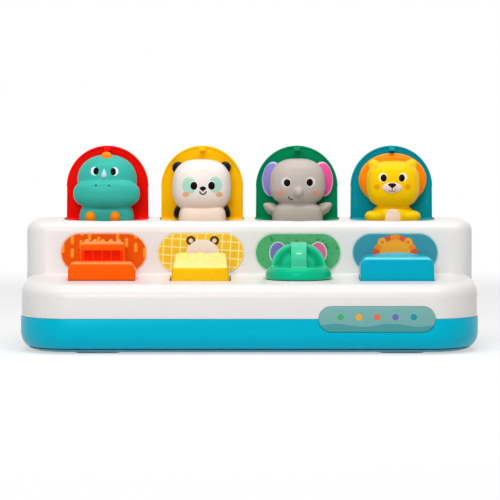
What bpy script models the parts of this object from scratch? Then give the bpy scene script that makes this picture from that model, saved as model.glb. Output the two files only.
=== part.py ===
"""Pop-up animal toy: four buttons on a stepped housing release four sprung lids with animals.

Metres, +Z up, +X to the right, the buttons face -Y. The origin is the middle of the footprint.
The lids stand open, as they do after their buttons have been worked.
"""

import math

import bmesh
import bpy
from mathutils import Matrix, Vector

# Driving sizes of the housing
body_width = 0.330
body_depth = 0.142
seam_height = 0.0253
deck_height = 0.050
deck_rise = 0.003
top_height = 0.092
riser_setback = 0.064
riser_lean = math.radians(3.0)
front_radius = 0.038
back_radius = 0.026
upper_radius = 0.015
shell_wall = 0.002
tray_wall = 0.0022
seat_gap = 0.0003
merge_depth = 0.001
overrun = 0.003

front_y = -body_depth / 2
back_y = body_depth / 2
riser_y = front_y + riser_setback

# Four columns, one for each animal, evenly spaced between the housing's ends
column_inset = 0.05865
column_shares = (-1.5, -0.5, 0.5, 1.5)
column_pitch = (body_width - 2 * column_inset) / (len(column_shares) - 1)
columns = [column_pitch * share for share in column_shares]

# Lids and their hinges: the hinges keep to the rear edge of the top, the lids reach to the riser
hinge_inset = 0.0124
hinge_depth = 0.004
lid_spacing = 0.0095
lid_front_margin = 0.008
hinge_y = back_y - hinge_inset
hinge_z = top_height - hinge_depth
lid_half_width = (column_pitch - lid_spacing) / 2
lid_reach = hinge_y - riser_y - lid_front_margin
lid_offset = 0.004
lid_plate = 0.0022
lid_rim = 0.0015
lid_rim_rise = 0.0006
lid_gap = 0.0006
pin_radius = 0.0015
pin_clearance = 0.0003

# Latch levers, one under each lid and its button: the pivot keeps to the lid, the arm to the deck
pivot_inset = 0.0002
pivot_depth = 0.023
arm_depth = 0.006
lever_y = hinge_y - lid_reach + pivot_inset
lever_z = hinge_z - pivot_depth
arm_top = deck_height - arm_depth
lever_drop = lever_z - arm_top
lever_pin_radius = 0.0012
lever_arm = 0.0353
lever_width = 0.006
lever_thickness = 0.004


def clear_scene():
    for old in list(bpy.data.objects):
        bpy.data.objects.remove(old, do_unlink=True)


def plastic(name, colour, roughness=0.35, metallic=0.0):
    """A Principled material in one colour."""
    made = bpy.data.materials.new(name)
    made.use_nodes = True
    shader = made.node_tree.nodes["Principled BSDF"]
    shader.inputs["Base Color"].default_value = (*colour, 1.0)
    shader.inputs["Roughness"].default_value = roughness
    shader.inputs["Metallic"].default_value = metallic
    made.diffuse_color = (*colour, 1.0)
    return made


clear_scene()
white = plastic("white_shell", (0.86, 0.86, 0.85), 0.3)
turquoise = plastic("turquoise_base", (0.0, 0.42, 0.58), 0.3)
inner_white = plastic("inner_white", (0.75, 0.75, 0.74), 0.45)
steel = plastic("spring_steel", (0.55, 0.56, 0.58), 0.3, 1.0)
lever_grey = plastic("lever_acetal", (0.62, 0.64, 0.66), 0.45)
lid_colours = ((0.85, 0.02, 0.01), (1.0, 0.47, 0.0), (0.0, 0.25, 0.09), (0.0, 0.27, 0.34))
animal_colours = ((0.05, 0.55, 0.55), (0.85, 0.82, 0.80), (0.42, 0.42, 0.44), (0.95, 0.55, 0.05))
key_colours = ((0.96, 0.10, 0.0), (0.88, 0.52, 0.02), (0.0, 0.45, 0.20), (0.0, 0.38, 0.53))
panel_colours = ((0.75, 0.09, 0.0), (0.87, 0.49, 0.01), (0.10, 0.38, 0.12), (0.03, 0.26, 0.33))


def arc(centre_u, centre_v, radius, start, end, steps):
    """Points along an arc, with both ends; the angles are in degrees."""
    points = []
    for step in range(steps + 1):
        angle = math.radians(start + (end - start) * step / steps)
        points.append((centre_u + radius * math.cos(angle), centre_v + radius * math.sin(angle)))
    return points


def rounded_plan(half_width, front, back, radius_f, radius_b, steps):
    """A rectangle with round corners, anticlockwise, as (x, y)."""
    left_f, left_b = -half_width + radius_f, -half_width + radius_b
    outline = arc(left_f, front + radius_f, radius_f, 180, 270, steps)
    outline += arc(-left_f, front + radius_f, radius_f, 270, 360, steps)
    outline += arc(-left_b, back - radius_b, radius_b, 0, 90, steps)
    outline += arc(left_b, back - radius_b, radius_b, 90, 180, steps)
    return outline


def stadium(length, height, steps=8):
    """A bar with half-round ends, about its middle."""
    radius = height / 2
    run = length / 2 - radius
    return arc(run, 0, radius, -90, 90, steps) + arc(-run, 0, radius, 90, 270, steps)


def arch(half_width, reach, heel, heel_radius, steps=10):
    """The lid's outline: a half-round crown at +v, square sides, and a heel behind the hinge."""
    outline = arc(0, reach - half_width, half_width, 0, 180, steps)
    outline += arc(-half_width + heel_radius, -heel + heel_radius, heel_radius, 180, 270, 2)
    outline += arc(half_width - heel_radius, -heel + heel_radius, heel_radius, 270, 360, 2)
    return outline


def place(u, v, w, axis):
    """A point of an outline (u, v) at w along the axis."""
    return {"X": (w, u, v), "Y": (u, w, v), "Z": (u, v, w)}[axis]


def prism(outline, axis, start, end):
    """An outline pushed along an axis. X takes (y, z), Y takes (x, z) and Z takes (x, y)."""
    mesh = bmesh.new()
    near = [mesh.verts.new(place(u, v, start, axis)) for u, v in outline]
    face = mesh.faces.new(near)
    pushed = bmesh.ops.extrude_face_region(mesh, geom=[face])
    shift = Vector(place(0, 0, end - start, axis))
    moved = [item for item in pushed["geom"] if isinstance(item, bmesh.types.BMVert)]
    bmesh.ops.translate(mesh, verts=moved, vec=shift)
    bmesh.ops.recalc_face_normals(mesh, faces=mesh.faces[:])
    return mesh


def block(x0, x1, y0, y1, z0, z1):
    return prism([(x0, y0), (x1, y0), (x1, y1), (x0, y1)], "Z", z0, z1)


def loft(loops):
    """Closed loops of as many points each, joined in turn and capped at both ends."""
    mesh = bmesh.new()
    rings = [[mesh.verts.new(point) for point in loop] for loop in loops]
    for lower, upper in zip(rings, rings[1:]):
        for i in range(len(lower)):
            j = (i + 1) % len(lower)
            mesh.faces.new((lower[i], lower[j], upper[j], upper[i]))
    mesh.faces.new(rings[0][::-1])
    mesh.faces.new(rings[-1])
    bmesh.ops.recalc_face_normals(mesh, faces=mesh.faces[:])
    return mesh


def turned(profile, centre, axis="Z", steps=24):
    """A profile of (radius, height) turned round an axis through the centre, closed on it."""
    loops = []
    for radius, height in profile:
        ring = [
            place(*point, height, axis)
            for point in arc(0, 0, radius, 0, 360 * (steps - 1) / steps, steps - 1)
        ]
        loops.append(ring)
    mesh = loft(loops)
    bmesh.ops.translate(mesh, verts=mesh.verts[:], vec=centre)
    return mesh


def rod(centre, radius, start, end, axis="Z", steps=16):
    return turned([(radius, start), (radius, end)], centre, axis, steps)


def ball(centre, radii, rings=10, steps=18, power=2):
    """An ellipsoid, squarer with a higher power: a unit sphere stretched to its radii."""
    mesh = bmesh.new()
    bmesh.ops.create_uvsphere(mesh, u_segments=steps, v_segments=rings, radius=1)
    for vertex in mesh.verts:
        vertex.co /= sum(abs(part) ** power for part in vertex.co) ** (1 / power)
    bmesh.ops.transform(mesh, matrix=Matrix.Diagonal((*radii, 1)), verts=mesh.verts[:])
    bmesh.ops.translate(mesh, verts=mesh.verts[:], vec=centre)
    return mesh


def wire(points, radius, sides=4):
    """A round wire along points, capped at both ends."""
    points = [Vector(point) for point in points]
    loops = []
    normal = None
    for i, point in enumerate(points):
        ahead = (points[min(i + 1, len(points) - 1)] - points[max(i - 1, 0)]).normalized()
        if normal is None:
            normal = ahead.orthogonal().normalized()
        normal = (normal - ahead * normal.dot(ahead)).normalized()
        side = ahead.cross(normal)
        loops.append([
            point + radius * (normal * math.cos(turn) + side * math.sin(turn))
            for turn in (2 * math.pi * k / sides for k in range(sides))
        ])
    return loft(loops)


def piece(name, mesh, material, origin=(0, 0, 0)):
    """A finished sub-part, with its origin where it turns or slides."""
    bmesh.ops.translate(mesh, verts=mesh.verts[:], vec=-Vector(origin))
    data = bpy.data.meshes.new(name)
    mesh.to_mesh(data)
    mesh.free()
    data.materials.append(material)
    made = bpy.data.objects.new(name, data)
    made.location = origin
    bpy.context.scene.collection.objects.link(made)
    data.shade_smooth()
    data.set_sharp_from_angle(angle=math.radians(35))
    return made


def boolean(target, mesh, operation):
    """Joins a shape to a piece, or cuts it out, by a Boolean with a hidden helper."""
    step = len(target.modifiers)
    helper = piece(f"{target.name}_{operation.lower()}_{step}", mesh, target.data.materials[0])
    helper.hide_render = True
    helper.display_type = "WIRE"
    modifier = target.modifiers.new(helper.name, "BOOLEAN")
    modifier.operation = operation
    modifier.object = helper


def cut(target, mesh):
    boolean(target, mesh, "DIFFERENCE")


def join(target, mesh):
    boolean(target, mesh, "UNION")


def deck_z(y):
    """Height of the deck, which falls a little towards the front."""
    return deck_height + deck_rise * (y - deck_front) / (riser_y - deck_front)


def riser_at(z):
    """Depth of the riser's outer face, which leans back."""
    return riser_y + (z - deck_height - deck_rise) * math.tan(riser_lean)


# Housing
step_in = 0.0007
lower_fillet = 0.0095
upper_step = 0.0011
upper_fillet = 0.0075
inner_fillet = 0.0032
fillet_steps = 4
deck_front = front_y + step_in + lower_fillet
shell_foot = seam_height + seat_gap


def lower_step(inset, foot, fillet, steps):
    """The low front step and its fillet, as deep as the whole housing. The inset makes the inside."""
    crest = deck_height - inset
    levels = [(0, foot)]
    for u, v in arc(0, 0, fillet, 0, 90, steps):
        levels.append((fillet - u, crest - fillet + v))
    loops = []
    for inwards, level in levels:
        edge = step_in + inset + inwards
        outline = rounded_plan(
            body_width / 2 - edge, front_y + edge, back_y - edge,
            front_radius - edge, back_radius - edge, steps + 3,
        )
        loops.append([
            (x, y, level + (deck_z(y) - deck_height if level > foot else 0)) for x, y in outline
        ])
    return loft(loops)


def upper_step_block(inset, foot, fillet, steps):
    """The tall rear step, whose front face is the riser."""
    crest = top_height - inset
    levels = [(0, foot)]
    for u, v in arc(0, 0, fillet, 0, 90, steps):
        levels.append((fillet - u, crest - fillet + v))
    loops = []
    for inwards, level in levels:
        edge = step_in + upper_step + inset + inwards
        corner = upper_radius - inset - inwards
        outline = rounded_plan(
            body_width / 2 - edge, riser_at(level) + inset + inwards, back_y - edge,
            corner, back_radius - edge, steps + 2,
        )
        loops.append([(x, y, level) for x, y in outline])
    return loft(loops)


top_shell = piece("top_shell", lower_step(0, shell_foot, lower_fillet, fillet_steps), white)
join(top_shell, upper_step_block(0, shell_foot + overrun, upper_fillet, fillet_steps))
cut(top_shell, lower_step(shell_wall, shell_foot - overrun, inner_fillet, 2))
cut(top_shell, upper_step_block(shell_wall, shell_foot - overrun, inner_fillet, 2))

# Lid openings, with wells under them
opening_half = lid_half_width + lid_gap
opening_reach = lid_reach + lid_gap
opening_heel = lid_offset + lid_gap
opening_corner = 0.0006
well_wall = 0.0012
well_depth = 0.0315
well_floor = top_height - well_depth
well_top = top_height - shell_wall - seat_gap
channel_half = 0.007
channel_depth = 0.0044
channel_back = lever_y + channel_depth
channel_height = 0.0135
channel_top = well_floor + channel_height


def plan_arch(x, grow=0):
    """The opening's outline in plan, crown to the front."""
    outline = arch(
        opening_half + grow, opening_reach + grow, opening_heel + grow, opening_corner + grow
    )
    return [(x + u, hinge_y - v) for u, v in outline]


for x in columns:
    cut(top_shell, prism(plan_arch(x), "Z", hinge_z - lid_offset, top_height + overrun))


def well(number, x):
    """The tub that the animal folds into, with a channel at its crown for the latch lever."""
    made = piece(
        f"pop_up_well_{number}",
        prism(plan_arch(x, well_wall), "Z", well_floor - well_wall, well_top),
        inner_white,
    )
    cavity = prism(plan_arch(x), "Z", well_floor, well_top + overrun)
    cut(made, cavity)
    crown_y = hinge_y - opening_reach - well_wall
    join(made, block(
        x - channel_half - well_wall, x + channel_half + well_wall,
        crown_y + well_wall / 2, channel_back + well_wall,
        well_floor - well_wall, channel_top,
    ))
    cut(made, block(
        x - channel_half, x + channel_half, crown_y - overrun, channel_back,
        well_floor - well_wall - overrun, well_top + overrun,
    ))
    cut(made, rod(
        (x, hinge_y, hinge_z), pin_radius + pin_clearance,
        -opening_half - well_wall - overrun, opening_half + well_wall + overrun, "X", 12,
    ))
    cut(made, rod(
        (x, lever_y, lever_z), lever_pin_radius + pin_clearance,
        -channel_half - well_wall - overrun, channel_half + well_wall + overrun, "X", 12,
    ))
    return made


for number, x in enumerate(columns, 1):
    well(number, x)

# Lids
knuckle_gap = 0.0006
recess_half = 0.007
recess_height = 0.0115
recess_skin = 0.0011
tongue_half = 0.0025
tongue_thickness = 0.0016
tongue_length = 0.008
barb_depth = 0.0014
barb_height = 0.002
tongue_inset = 0.0024


def lid(number, x, colour):
    """An arched lid, standing open: a plate, a rim, a hinge barrel and a latch tongue."""
    outer = hinge_y + lid_offset
    inner = outer - lid_plate
    half = lid_half_width
    origin = (x, hinge_y, hinge_z)

    def upright(grow, heel):
        outline = arch(half + grow, lid_reach + grow, heel, lid_rim / 2)
        return [(x + u, hinge_z + v) for u, v in outline]

    shape = prism(upright(0, 0), "Y", inner - lid_rim_rise, outer)
    made = piece(f"lid_{number}", shape, colour, origin)
    inside = [
        (x + u, hinge_z + v)
        for u, v in arch(half - lid_rim, lid_reach - lid_rim, lid_offset, lid_rim / 2)
    ]
    cut(made, prism(inside, "Y", hinge_y - overrun, inner))
    join(made, rod((x, hinge_y, hinge_z), lid_offset, -half + knuckle_gap, half - knuckle_gap, "X", 20))
    crown = hinge_z + lid_reach - tongue_inset
    join(made, block(
        x - tongue_half, x + tongue_half, hinge_y - tongue_length, inner + lid_plate / 2,
        crown - tongue_thickness, crown,
    ))
    barb = [
        (hinge_y - tongue_length, crown - tongue_thickness / 2),
        (hinge_y - tongue_length + barb_height, crown - tongue_thickness / 2),
        (hinge_y - tongue_length + barb_height, crown + barb_depth),
        (hinge_y - tongue_length + barb_height / 2, crown + barb_depth),
    ]
    join(made, prism(barb, "X", x - tongue_half, x + tongue_half))
    cut(made, block(
        x - recess_half, x + recess_half, hinge_y - lid_offset - overrun, outer - recess_skin,
        hinge_z - lid_offset - overrun, hinge_z + recess_height,
    ))
    cut(made, block(
        x - recess_half, x + recess_half, hinge_y, outer + overrun,
        hinge_z - lid_offset - overrun, hinge_z - lid_rim,
    ))
    cut(made, rod(origin, pin_radius + pin_clearance, -half - overrun, half + overrun, "X", 12))
    return made


lid_plastics = [plastic(f"lid_plastic_{i}", c) for i, c in enumerate(lid_colours, 1)]
for number, x in enumerate(columns, 1):
    lid(number, x, lid_plastics[number - 1])

# Hinge pins and lid springs
pin_end = 0.0003
spring_wire = 0.00035
spring_turns = 3
spring_coil = 0.00225
spring_half = 0.0045
spring_leg = 0.010
spring_foot = 0.008


def helix(turns, radius, length, per_turn):
    """Points of a coil about Z from zero to its length."""
    count = round(turns * per_turn)
    for step in range(count + 1):
        turn = 2 * math.pi * turns * step / count
        yield radius * math.cos(turn), radius * math.sin(turn), length * step / count


for number, x in enumerate(columns, 1):
    reach = opening_half + well_wall - pin_end
    piece(
        f"hinge_pin_{number}",
        rod((x, hinge_y, hinge_z), pin_radius, -reach, reach, "X", 10),
        steel,
        (x, hinge_y, hinge_z),
    )
    leg_y = hinge_y + spring_coil
    wall_y = hinge_y + opening_heel - spring_wire - seat_gap
    path = [(x - spring_half, wall_y, hinge_z - spring_foot)]
    path.append((x - spring_half, leg_y, hinge_z - spring_coil))
    for u, v, w in helix(spring_turns, spring_coil, 2 * spring_half, 8):
        path.append((x - spring_half + w, hinge_y + u, hinge_z + v))
    path.append((x + spring_half, leg_y, hinge_z + spring_leg))
    piece(f"lid_spring_{number}", wire(path, spring_wire), steel, (x, hinge_y, hinge_z))

# Latch levers with their pins and return springs
hub_radius = 0.0032
post_front = 0.0016
post_back = 0.0006
post_top = 0.0198
hook_under = 0.0173
hook_tip = 0.0019
hook_nose = 0.0012
stem_back = 0.0022
arm_end = 0.0382
return_setback = 0.017
return_y = riser_y - return_setback
return_coil = 0.0032
return_wire = 0.00045
return_turns = 4
return_foot = 0.0222
arm_under = arm_top - lever_thickness


def lever(number, x):
    """A bell crank: a hooked post up behind the riser and an arm forward under the button."""
    origin = (x, lever_y, lever_z)
    profile = [
        (-post_front, post_top),
        (-post_front, -lever_drop),
        (-arm_end, -lever_drop),
        (-arm_end, -lever_drop - lever_thickness),
        (stem_back, -lever_drop - lever_thickness),
        (stem_back, 0),
        (post_back, hub_radius),
        (post_back, hook_under),
        (hook_tip, hook_under),
        (hook_tip, hook_under + hook_nose),
        (post_back, post_top),
    ]
    outline = [(lever_y + u, lever_z + v) for u, v in profile]
    made = piece(
        f"latch_lever_{number}",
        prism(outline, "X", x - lever_width / 2, x + lever_width / 2),
        lever_grey,
        origin,
    )
    hub_half = channel_half - seat_gap
    join(made, rod(origin, hub_radius, -hub_half, hub_half, "X", 14))
    cut(made, rod(
        origin, lever_pin_radius + pin_clearance, -channel_half - overrun, channel_half + overrun,
        "X", 10,
    ))


for number, x in enumerate(columns, 1):
    lever(number, x)
    reach = channel_half + well_wall + seat_gap
    piece(
        f"lever_pin_{number}",
        rod((x, lever_y, lever_z), lever_pin_radius, -reach, reach, "X", 8),
        steel,
        (x, lever_y, lever_z),
    )
    foot = return_foot + seat_gap + return_wire
    length = arm_under - seat_gap - return_wire - foot
    path = [
        (x + u, return_y + v, foot + w)
        for u, v, w in helix(return_turns, return_coil, length, 8)
    ]
    piece(f"return_spring_{number}", wire(path, return_wire), steel, (x, return_y, foot))

# Base tray, with its screws and feet
bottom_fillet = 0.013
foot_height = 0.0009
lip_inset = 0.0032
lip_wall = 0.0016
lip_height = 0.003
lip_chamfer = 0.0026
tray_floor = 0.0022
boss_radius = 0.0045
boss_top = 0.012
head_radius = 0.0032
head_height = 0.0022
head_seat = 0.0075
shank_radius = 0.0016
shank_length = 0.0155
shell_boss = 0.0035
post_radius = 0.004
post_inset = 0.0127
post_setback = 0.0186
post_spread = lid_half_width - post_inset
post_y = hinge_y - post_setback
seat_radius = 0.0045
spigot_radius = 0.0022
spigot_height = 0.003
side_boss_inset = 0.015
front_boss_inset = 0.033
rear_boss_inset = 0.027
corner_boss_x = body_width / 2 - side_boss_inset
front_boss_y = front_y + front_boss_inset
rear_boss_y = back_y - rear_boss_inset
middle_boss_setback = 0.013
middle_front_boss_setback = 0.023
middle_boss_y = riser_y + middle_boss_setback
middle_front_boss_y = riser_y - middle_front_boss_setback
screw_places = [
    (-corner_boss_x, front_boss_y), (corner_boss_x, front_boss_y),
    (-corner_boss_x, rear_boss_y), (corner_boss_x, rear_boss_y),
    (0, middle_front_boss_y), (0, middle_boss_y),
]


def tray_loops(levels, steps):
    """Loops of the tray's plan at (inset, height) levels."""
    return [
        [
            (x, y, level)
            for x, y in rounded_plan(
                body_width / 2 - inset, front_y + inset, back_y - inset,
                front_radius - inset, back_radius - inset, steps,
            )
        ]
        for inset, level in levels
    ]


outside = [
    (bottom_fillet - u, foot_height + bottom_fillet + v)
    for u, v in arc(0, 0, bottom_fillet, -90, 0, 4)
]
outside += [(0, seam_height), (lip_inset, seam_height), (lip_inset, seam_height + lip_height)]
hollow_radius = bottom_fillet - tray_wall
inside = [
    (bottom_fillet - u, foot_height + tray_floor + hollow_radius + v)
    for u, v in arc(0, 0, hollow_radius, -90, 0, 2)
]
inside += [
    (tray_wall, seam_height - lip_height - lip_chamfer),
    (lip_inset + lip_wall, seam_height - lip_height),
    (lip_inset + lip_wall, seam_height + lip_height + overrun),
]
base_tray = piece("base_tray", loft(tray_loops(outside, fillet_steps + 3)), turquoise)
cut(base_tray, loft(tray_loops(inside, fillet_steps)))
tray_inside = foot_height + tray_floor - tray_floor / 2
for x, y in screw_places:
    join(base_tray, rod((x, y, 0), boss_radius, tray_inside, boss_top, steps=10))
    under = deck_z(y) if y < riser_y else top_height
    join(top_shell, rod((x, y, 0), shell_boss, boss_top + seat_gap, under - shell_wall / 2, steps=8))
for x, y in screw_places:
    cut(base_tray, rod(
        (x, y, 0), head_radius + seat_gap, foot_height - overrun, head_seat, steps=10
    ))
    cut(base_tray, rod((x, y, 0), shank_radius + seat_gap, 0, boss_top + overrun, steps=8))
    cut(top_shell, rod(
        (x, y, 0), shank_radius + seat_gap, boss_top - overrun,
        head_seat + shank_length + seat_gap, steps=8,
    ))
for x in columns:
    for side in (-1, 1):
        join(base_tray, rod(
            (x + side * post_spread, post_y, 0), post_radius, tray_inside,
            well_floor - well_wall - seat_gap, steps=8,
        ))
    join(base_tray, turned(
        [
            (seat_radius, tray_inside), (seat_radius, return_foot),
            (spigot_radius, return_foot), (spigot_radius, return_foot + spigot_height),
        ],
        (x, return_y, 0), steps=8,
    ))
for number, (x, y) in enumerate(screw_places, 1):
    top = head_seat - seat_gap
    piece(
        f"housing_screw_{number}",
        turned(
            [
                (head_radius, top - head_height), (head_radius, top),
                (shank_radius, top), (shank_radius, top + shank_length),
            ],
            (x, y, 0), steps=8,
        ),
        steel,
    )

foot_length = 0.032
foot_width = 0.010
foot_side_inset = 0.056
foot_end_inset = 0.021
foot_x = body_width / 2 - foot_side_inset
foot_y = back_y - foot_end_inset
foot_sunk = 0.001
foot_places = [(sx * foot_x, sy * foot_y) for sy in (-1, 1) for sx in (-1, 1)]
for number, (x, y) in enumerate(foot_places, 1):
    pad = [(x + u, y + v) for u, v in stadium(foot_length, foot_width, 4)]
    recess = [
        (x + u, y + v)
        for u, v in stadium(foot_length + 2 * seat_gap, foot_width + 2 * seat_gap, 4)
    ]
    cut(base_tray, prism(recess, "Z", foot_height - overrun, foot_height + foot_sunk))
    piece(f"foot_{number}", prism(pad, "Z", 0, foot_height + foot_sunk - seat_gap), turquoise)

# Picture panels on the riser and the blank plate across the seam
panel_spacing = 0.0082
panel_foot_margin = 0.0018
panel_head_margin = 0.0012
panel_foot = deck_height + deck_rise + panel_foot_margin
panel_head = top_height - upper_fillet - panel_head_margin
panel_length = column_pitch - panel_spacing
panel_height = panel_head - panel_foot
panel_middle = (panel_foot + panel_head) / 2
panel_thickness = 0.0006
panel_sunk = 0.0005
plate_length = 0.083
plate_height = 0.0182
plate_inset = 0.0742
plate_x = body_width / 2 - plate_inset
plate_thickness = 0.0014
panel_plastics = [plastic(f"panel_{i}", c, 0.45) for i, c in enumerate(panel_colours, 1)]


def riser_panel(x, grow, start, end):
    """A stadium on the leaning riser, from start to end behind its outer face."""
    made = prism(stadium(panel_length + 2 * grow, panel_height + 2 * grow), "Y", start, end)
    middle = Vector((x, riser_at(panel_middle), panel_middle))
    turn = Matrix.Translation(middle) @ Matrix.Rotation(-riser_lean, 4, "X")
    bmesh.ops.transform(made, matrix=turn, verts=made.verts[:])
    return made


for number, x in enumerate(columns, 1):
    cut(top_shell, riser_panel(x, seat_gap, -overrun, panel_sunk))
    back = panel_sunk - seat_gap
    piece(
        f"picture_panel_{number}",
        riser_panel(x, 0, back - panel_thickness, back),
        panel_plastics[number - 1],
    )

plate_recess = [
    (plate_x + u, seam_height + v)
    for u, v in stadium(plate_length + 2 * seat_gap, plate_height + 2 * seat_gap)
]
plate_outline = [(plate_x + u, seam_height + v) for u, v in stadium(plate_length, plate_height)]
plate_back = front_y + plate_thickness
for target in (top_shell, base_tray):
    cut(target, prism(plate_recess, "Y", front_y - overrun, plate_back + seat_gap))
piece(
    "front_plate",
    prism(plate_outline, "Y", front_y, plate_back),
    plastic("plate_teal", (0.21, 0.46, 0.43), 0.4),
)

# Buttons: what they share
key_plastics = [plastic(f"key_plastic_{i}", c, 0.3) for i, c in enumerate(key_colours, 1)]
key_depth = 0.0305
key_setback = 0.0065
key_back = riser_y - key_setback
key_front = key_back - key_depth
key_wall = 0.0022
skirt_depth = 0.0028
key_skirt = deck_height - skirt_depth
key_gap = 0.0005
push_travel = 0.004
contact_y = lever_y - lever_arm
contact_half = 0.0012
foot_end = arm_top + seat_gap


def break_edges(made, width):
    """Takes a small chamfer off a piece's sharp edges."""
    bevel = made.modifiers.new("broken_edges", "BEVEL")
    bevel.width = width
    bevel.segments = 1
    bevel.limit_method = "ANGLE"
    bevel.angle_limit = math.radians(35)


def rounded_top(half_width, foot, top, radius, taper=0, steps=4):
    """An upright outline (x, z) with round upper corners; the top is narrower by the taper."""
    narrow = half_width - taper
    outline = [(-half_width, foot), (half_width, foot)]
    outline += arc(narrow - radius, top - radius, radius, 0, 90, steps)
    outline += arc(-narrow + radius, top - radius, radius, 90, 180, steps)
    return outline


# Orange slide
slide_x = columns[0]
slide_travel = 0.008
slide_spacing = 0.0224
slide_height = 0.0142
rest_step = 0.00815
rest_height = 0.0278
rest_depth = 0.0135
slide_half = (column_pitch - slide_spacing) / 2
slide_top = deck_height + slide_height
rest_half = slide_half - rest_step
rest_top = deck_height + rest_height
rest_front = key_back - rest_depth
slide_corner = 0.004
ridge_radius = 0.0017
ridge_pitch_share = 0.36
slide_stem_half = 0.007
slide_stem_setback = 0.008
slide_stem_depth = 0.012
slide_stem_front = key_front + slide_stem_setback
slide_stem_back = slide_stem_front + slide_stem_depth
slide_taper = 0.0006
slide_sole = 0.0025
ramp_flat = 0.0033
cam_top_gap = 0.0004
cam_plate_half = 0.016
cam_plate_thickness = 0.0022


def settle(mesh, foot):
    """Leans the underside of a shape to lie along the deck."""
    for vertex in mesh.verts:
        if vertex.co.z < foot + seat_gap:
            vertex.co.z = deck_z(vertex.co.y) + seat_gap
    return mesh


def shifted(outline, x):
    return [(x + u, v) for u, v in outline]


slide_foot = deck_z(key_back) - deck_rise
front_outline = rounded_top(slide_half, slide_foot, slide_top, slide_corner, slide_taper)
slide = piece(
    "slide_button",
    settle(prism(shifted(front_outline, slide_x), "Y", key_front, rest_front + slide_sole), slide_foot),
    key_plastics[0],
    (slide_x, rest_front, deck_height),
)
rest_outline = rounded_top(rest_half, slide_foot, rest_top, slide_corner, slide_taper)
join(slide, settle(prism(shifted(rest_outline, slide_x), "Y", rest_front, key_back), slide_foot))
pocket_half_share = 0.174
pocket_half = pocket_half_share * rest_half
pocket_foot_margin = 0.0013
pocket_head_margin = 0.0056
pocket_low = slide_top + pocket_foot_margin
pocket_high = rest_top - pocket_head_margin
pocket_depth = 0.0016
pocket_shares = (-0.62, -0.21, 0.21, 0.62)
for share in pocket_shares:
    middle = slide_x + share * rest_half
    cut(slide, block(
        middle - pocket_half, middle + pocket_half, rest_front - overrun, rest_front + pocket_depth,
        pocket_low, pocket_high,
    ))
for step in (-2, -1, 0, 1, 2):
    join(slide, rod(
        (slide_x + step * ridge_pitch_share * rest_half, 0, rest_top), ridge_radius,
        rest_front + ridge_radius, key_back - ridge_radius, "Y", 10,
    ))
cam_top = deck_z(slide_stem_front) - shell_wall - cam_top_gap
join(slide, block(
    slide_x - slide_stem_half, slide_x + slide_stem_half, slide_stem_front, slide_stem_back,
    cam_top + seat_gap, deck_height + slide_sole + deck_rise,
))
cut(top_shell, block(
    slide_x - slide_stem_half - key_gap, slide_x + slide_stem_half + slide_travel + key_gap,
    slide_stem_front - key_gap, slide_stem_back + key_gap,
    deck_height - shell_wall - overrun, deck_height + deck_rise + overrun,
))
cam_base = cam_top - cam_plate_thickness
ramp_end = ramp_flat + slide_travel
cam_outline = [
    (-cam_plate_half, cam_top),
    (-cam_plate_half, foot_end - push_travel),
    (-ramp_end, foot_end - push_travel),
    (-ramp_flat, foot_end),
    (ramp_flat, foot_end),
    (ramp_flat, cam_base),
    (cam_plate_half, cam_base),
    (cam_plate_half, cam_top),
]
slide_cam = piece(
    "slide_cam",
    prism(shifted(cam_outline, slide_x), "Y", contact_y - contact_half, contact_y + contact_half),
    inner_white,
    (slide_x, contact_y, cam_top),
)
join(slide_cam, block(
    slide_x - cam_plate_half, slide_x + cam_plate_half, slide_stem_front - contact_half,
    slide_stem_back + contact_half, cam_base, cam_top,
))

# Yellow push key
push_x = columns[1]
push_spacing = 0.0279
push_front_height = 0.0106
push_back_height = 0.0196
push_half = (column_pitch - push_spacing) / 2
push_front_top = deck_height + push_front_height
push_back_top = deck_height + push_back_height
push_narrowing_share = 0.138
push_nose = 0.0022
lip_reach = 0.001
lip_thickness = 0.0013


def key_body(x, half, profile, start_z, narrowing):
    """A profile (y, z) pushed across and narrowed with height above start_z."""
    made = prism(profile, "X", x - half, x + half)
    for vertex in made.verts:
        above = max(0, vertex.co.z - start_z)
        vertex.co.x = x + (vertex.co.x - x) * (1 - narrowing * above / half)
    return made


def push_profile(inset, foot):
    front, back = key_front + inset, key_back - inset
    low, high = push_front_top - inset, push_back_top - inset
    return [
        (front, foot), (back, foot), (back, high),
        (front + push_nose, low), (front, low - push_nose),
    ]


push_key = piece(
    "push_key",
    key_body(push_x, push_half, push_profile(0, key_skirt), deck_height, push_narrowing_share),
    key_plastics[1],
    (push_x, contact_y, key_skirt),
)
cut(push_key, key_body(
    push_x, push_half - key_wall, push_profile(key_wall, key_skirt - overrun), deck_height,
    push_narrowing_share,
))
for side in (-1, 1):
    rooted, tip = side * (push_half - key_wall / 2), side * (push_half + lip_reach)
    join(push_key, block(
        push_x + min(rooted, tip), push_x + max(rooted, tip), key_front + key_wall,
        key_back - key_wall, key_skirt, key_skirt + lip_thickness,
    ))
join(push_key, block(
    push_x - lever_width / 2, push_x + lever_width / 2, contact_y - contact_half,
    contact_y + contact_half, foot_end, push_front_top,
))
cut(top_shell, block(
    push_x - push_half - key_gap, push_x + push_half + key_gap, key_front - key_gap,
    key_back + key_gap, deck_height - shell_wall - overrun, deck_height + deck_rise + overrun,
))

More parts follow.
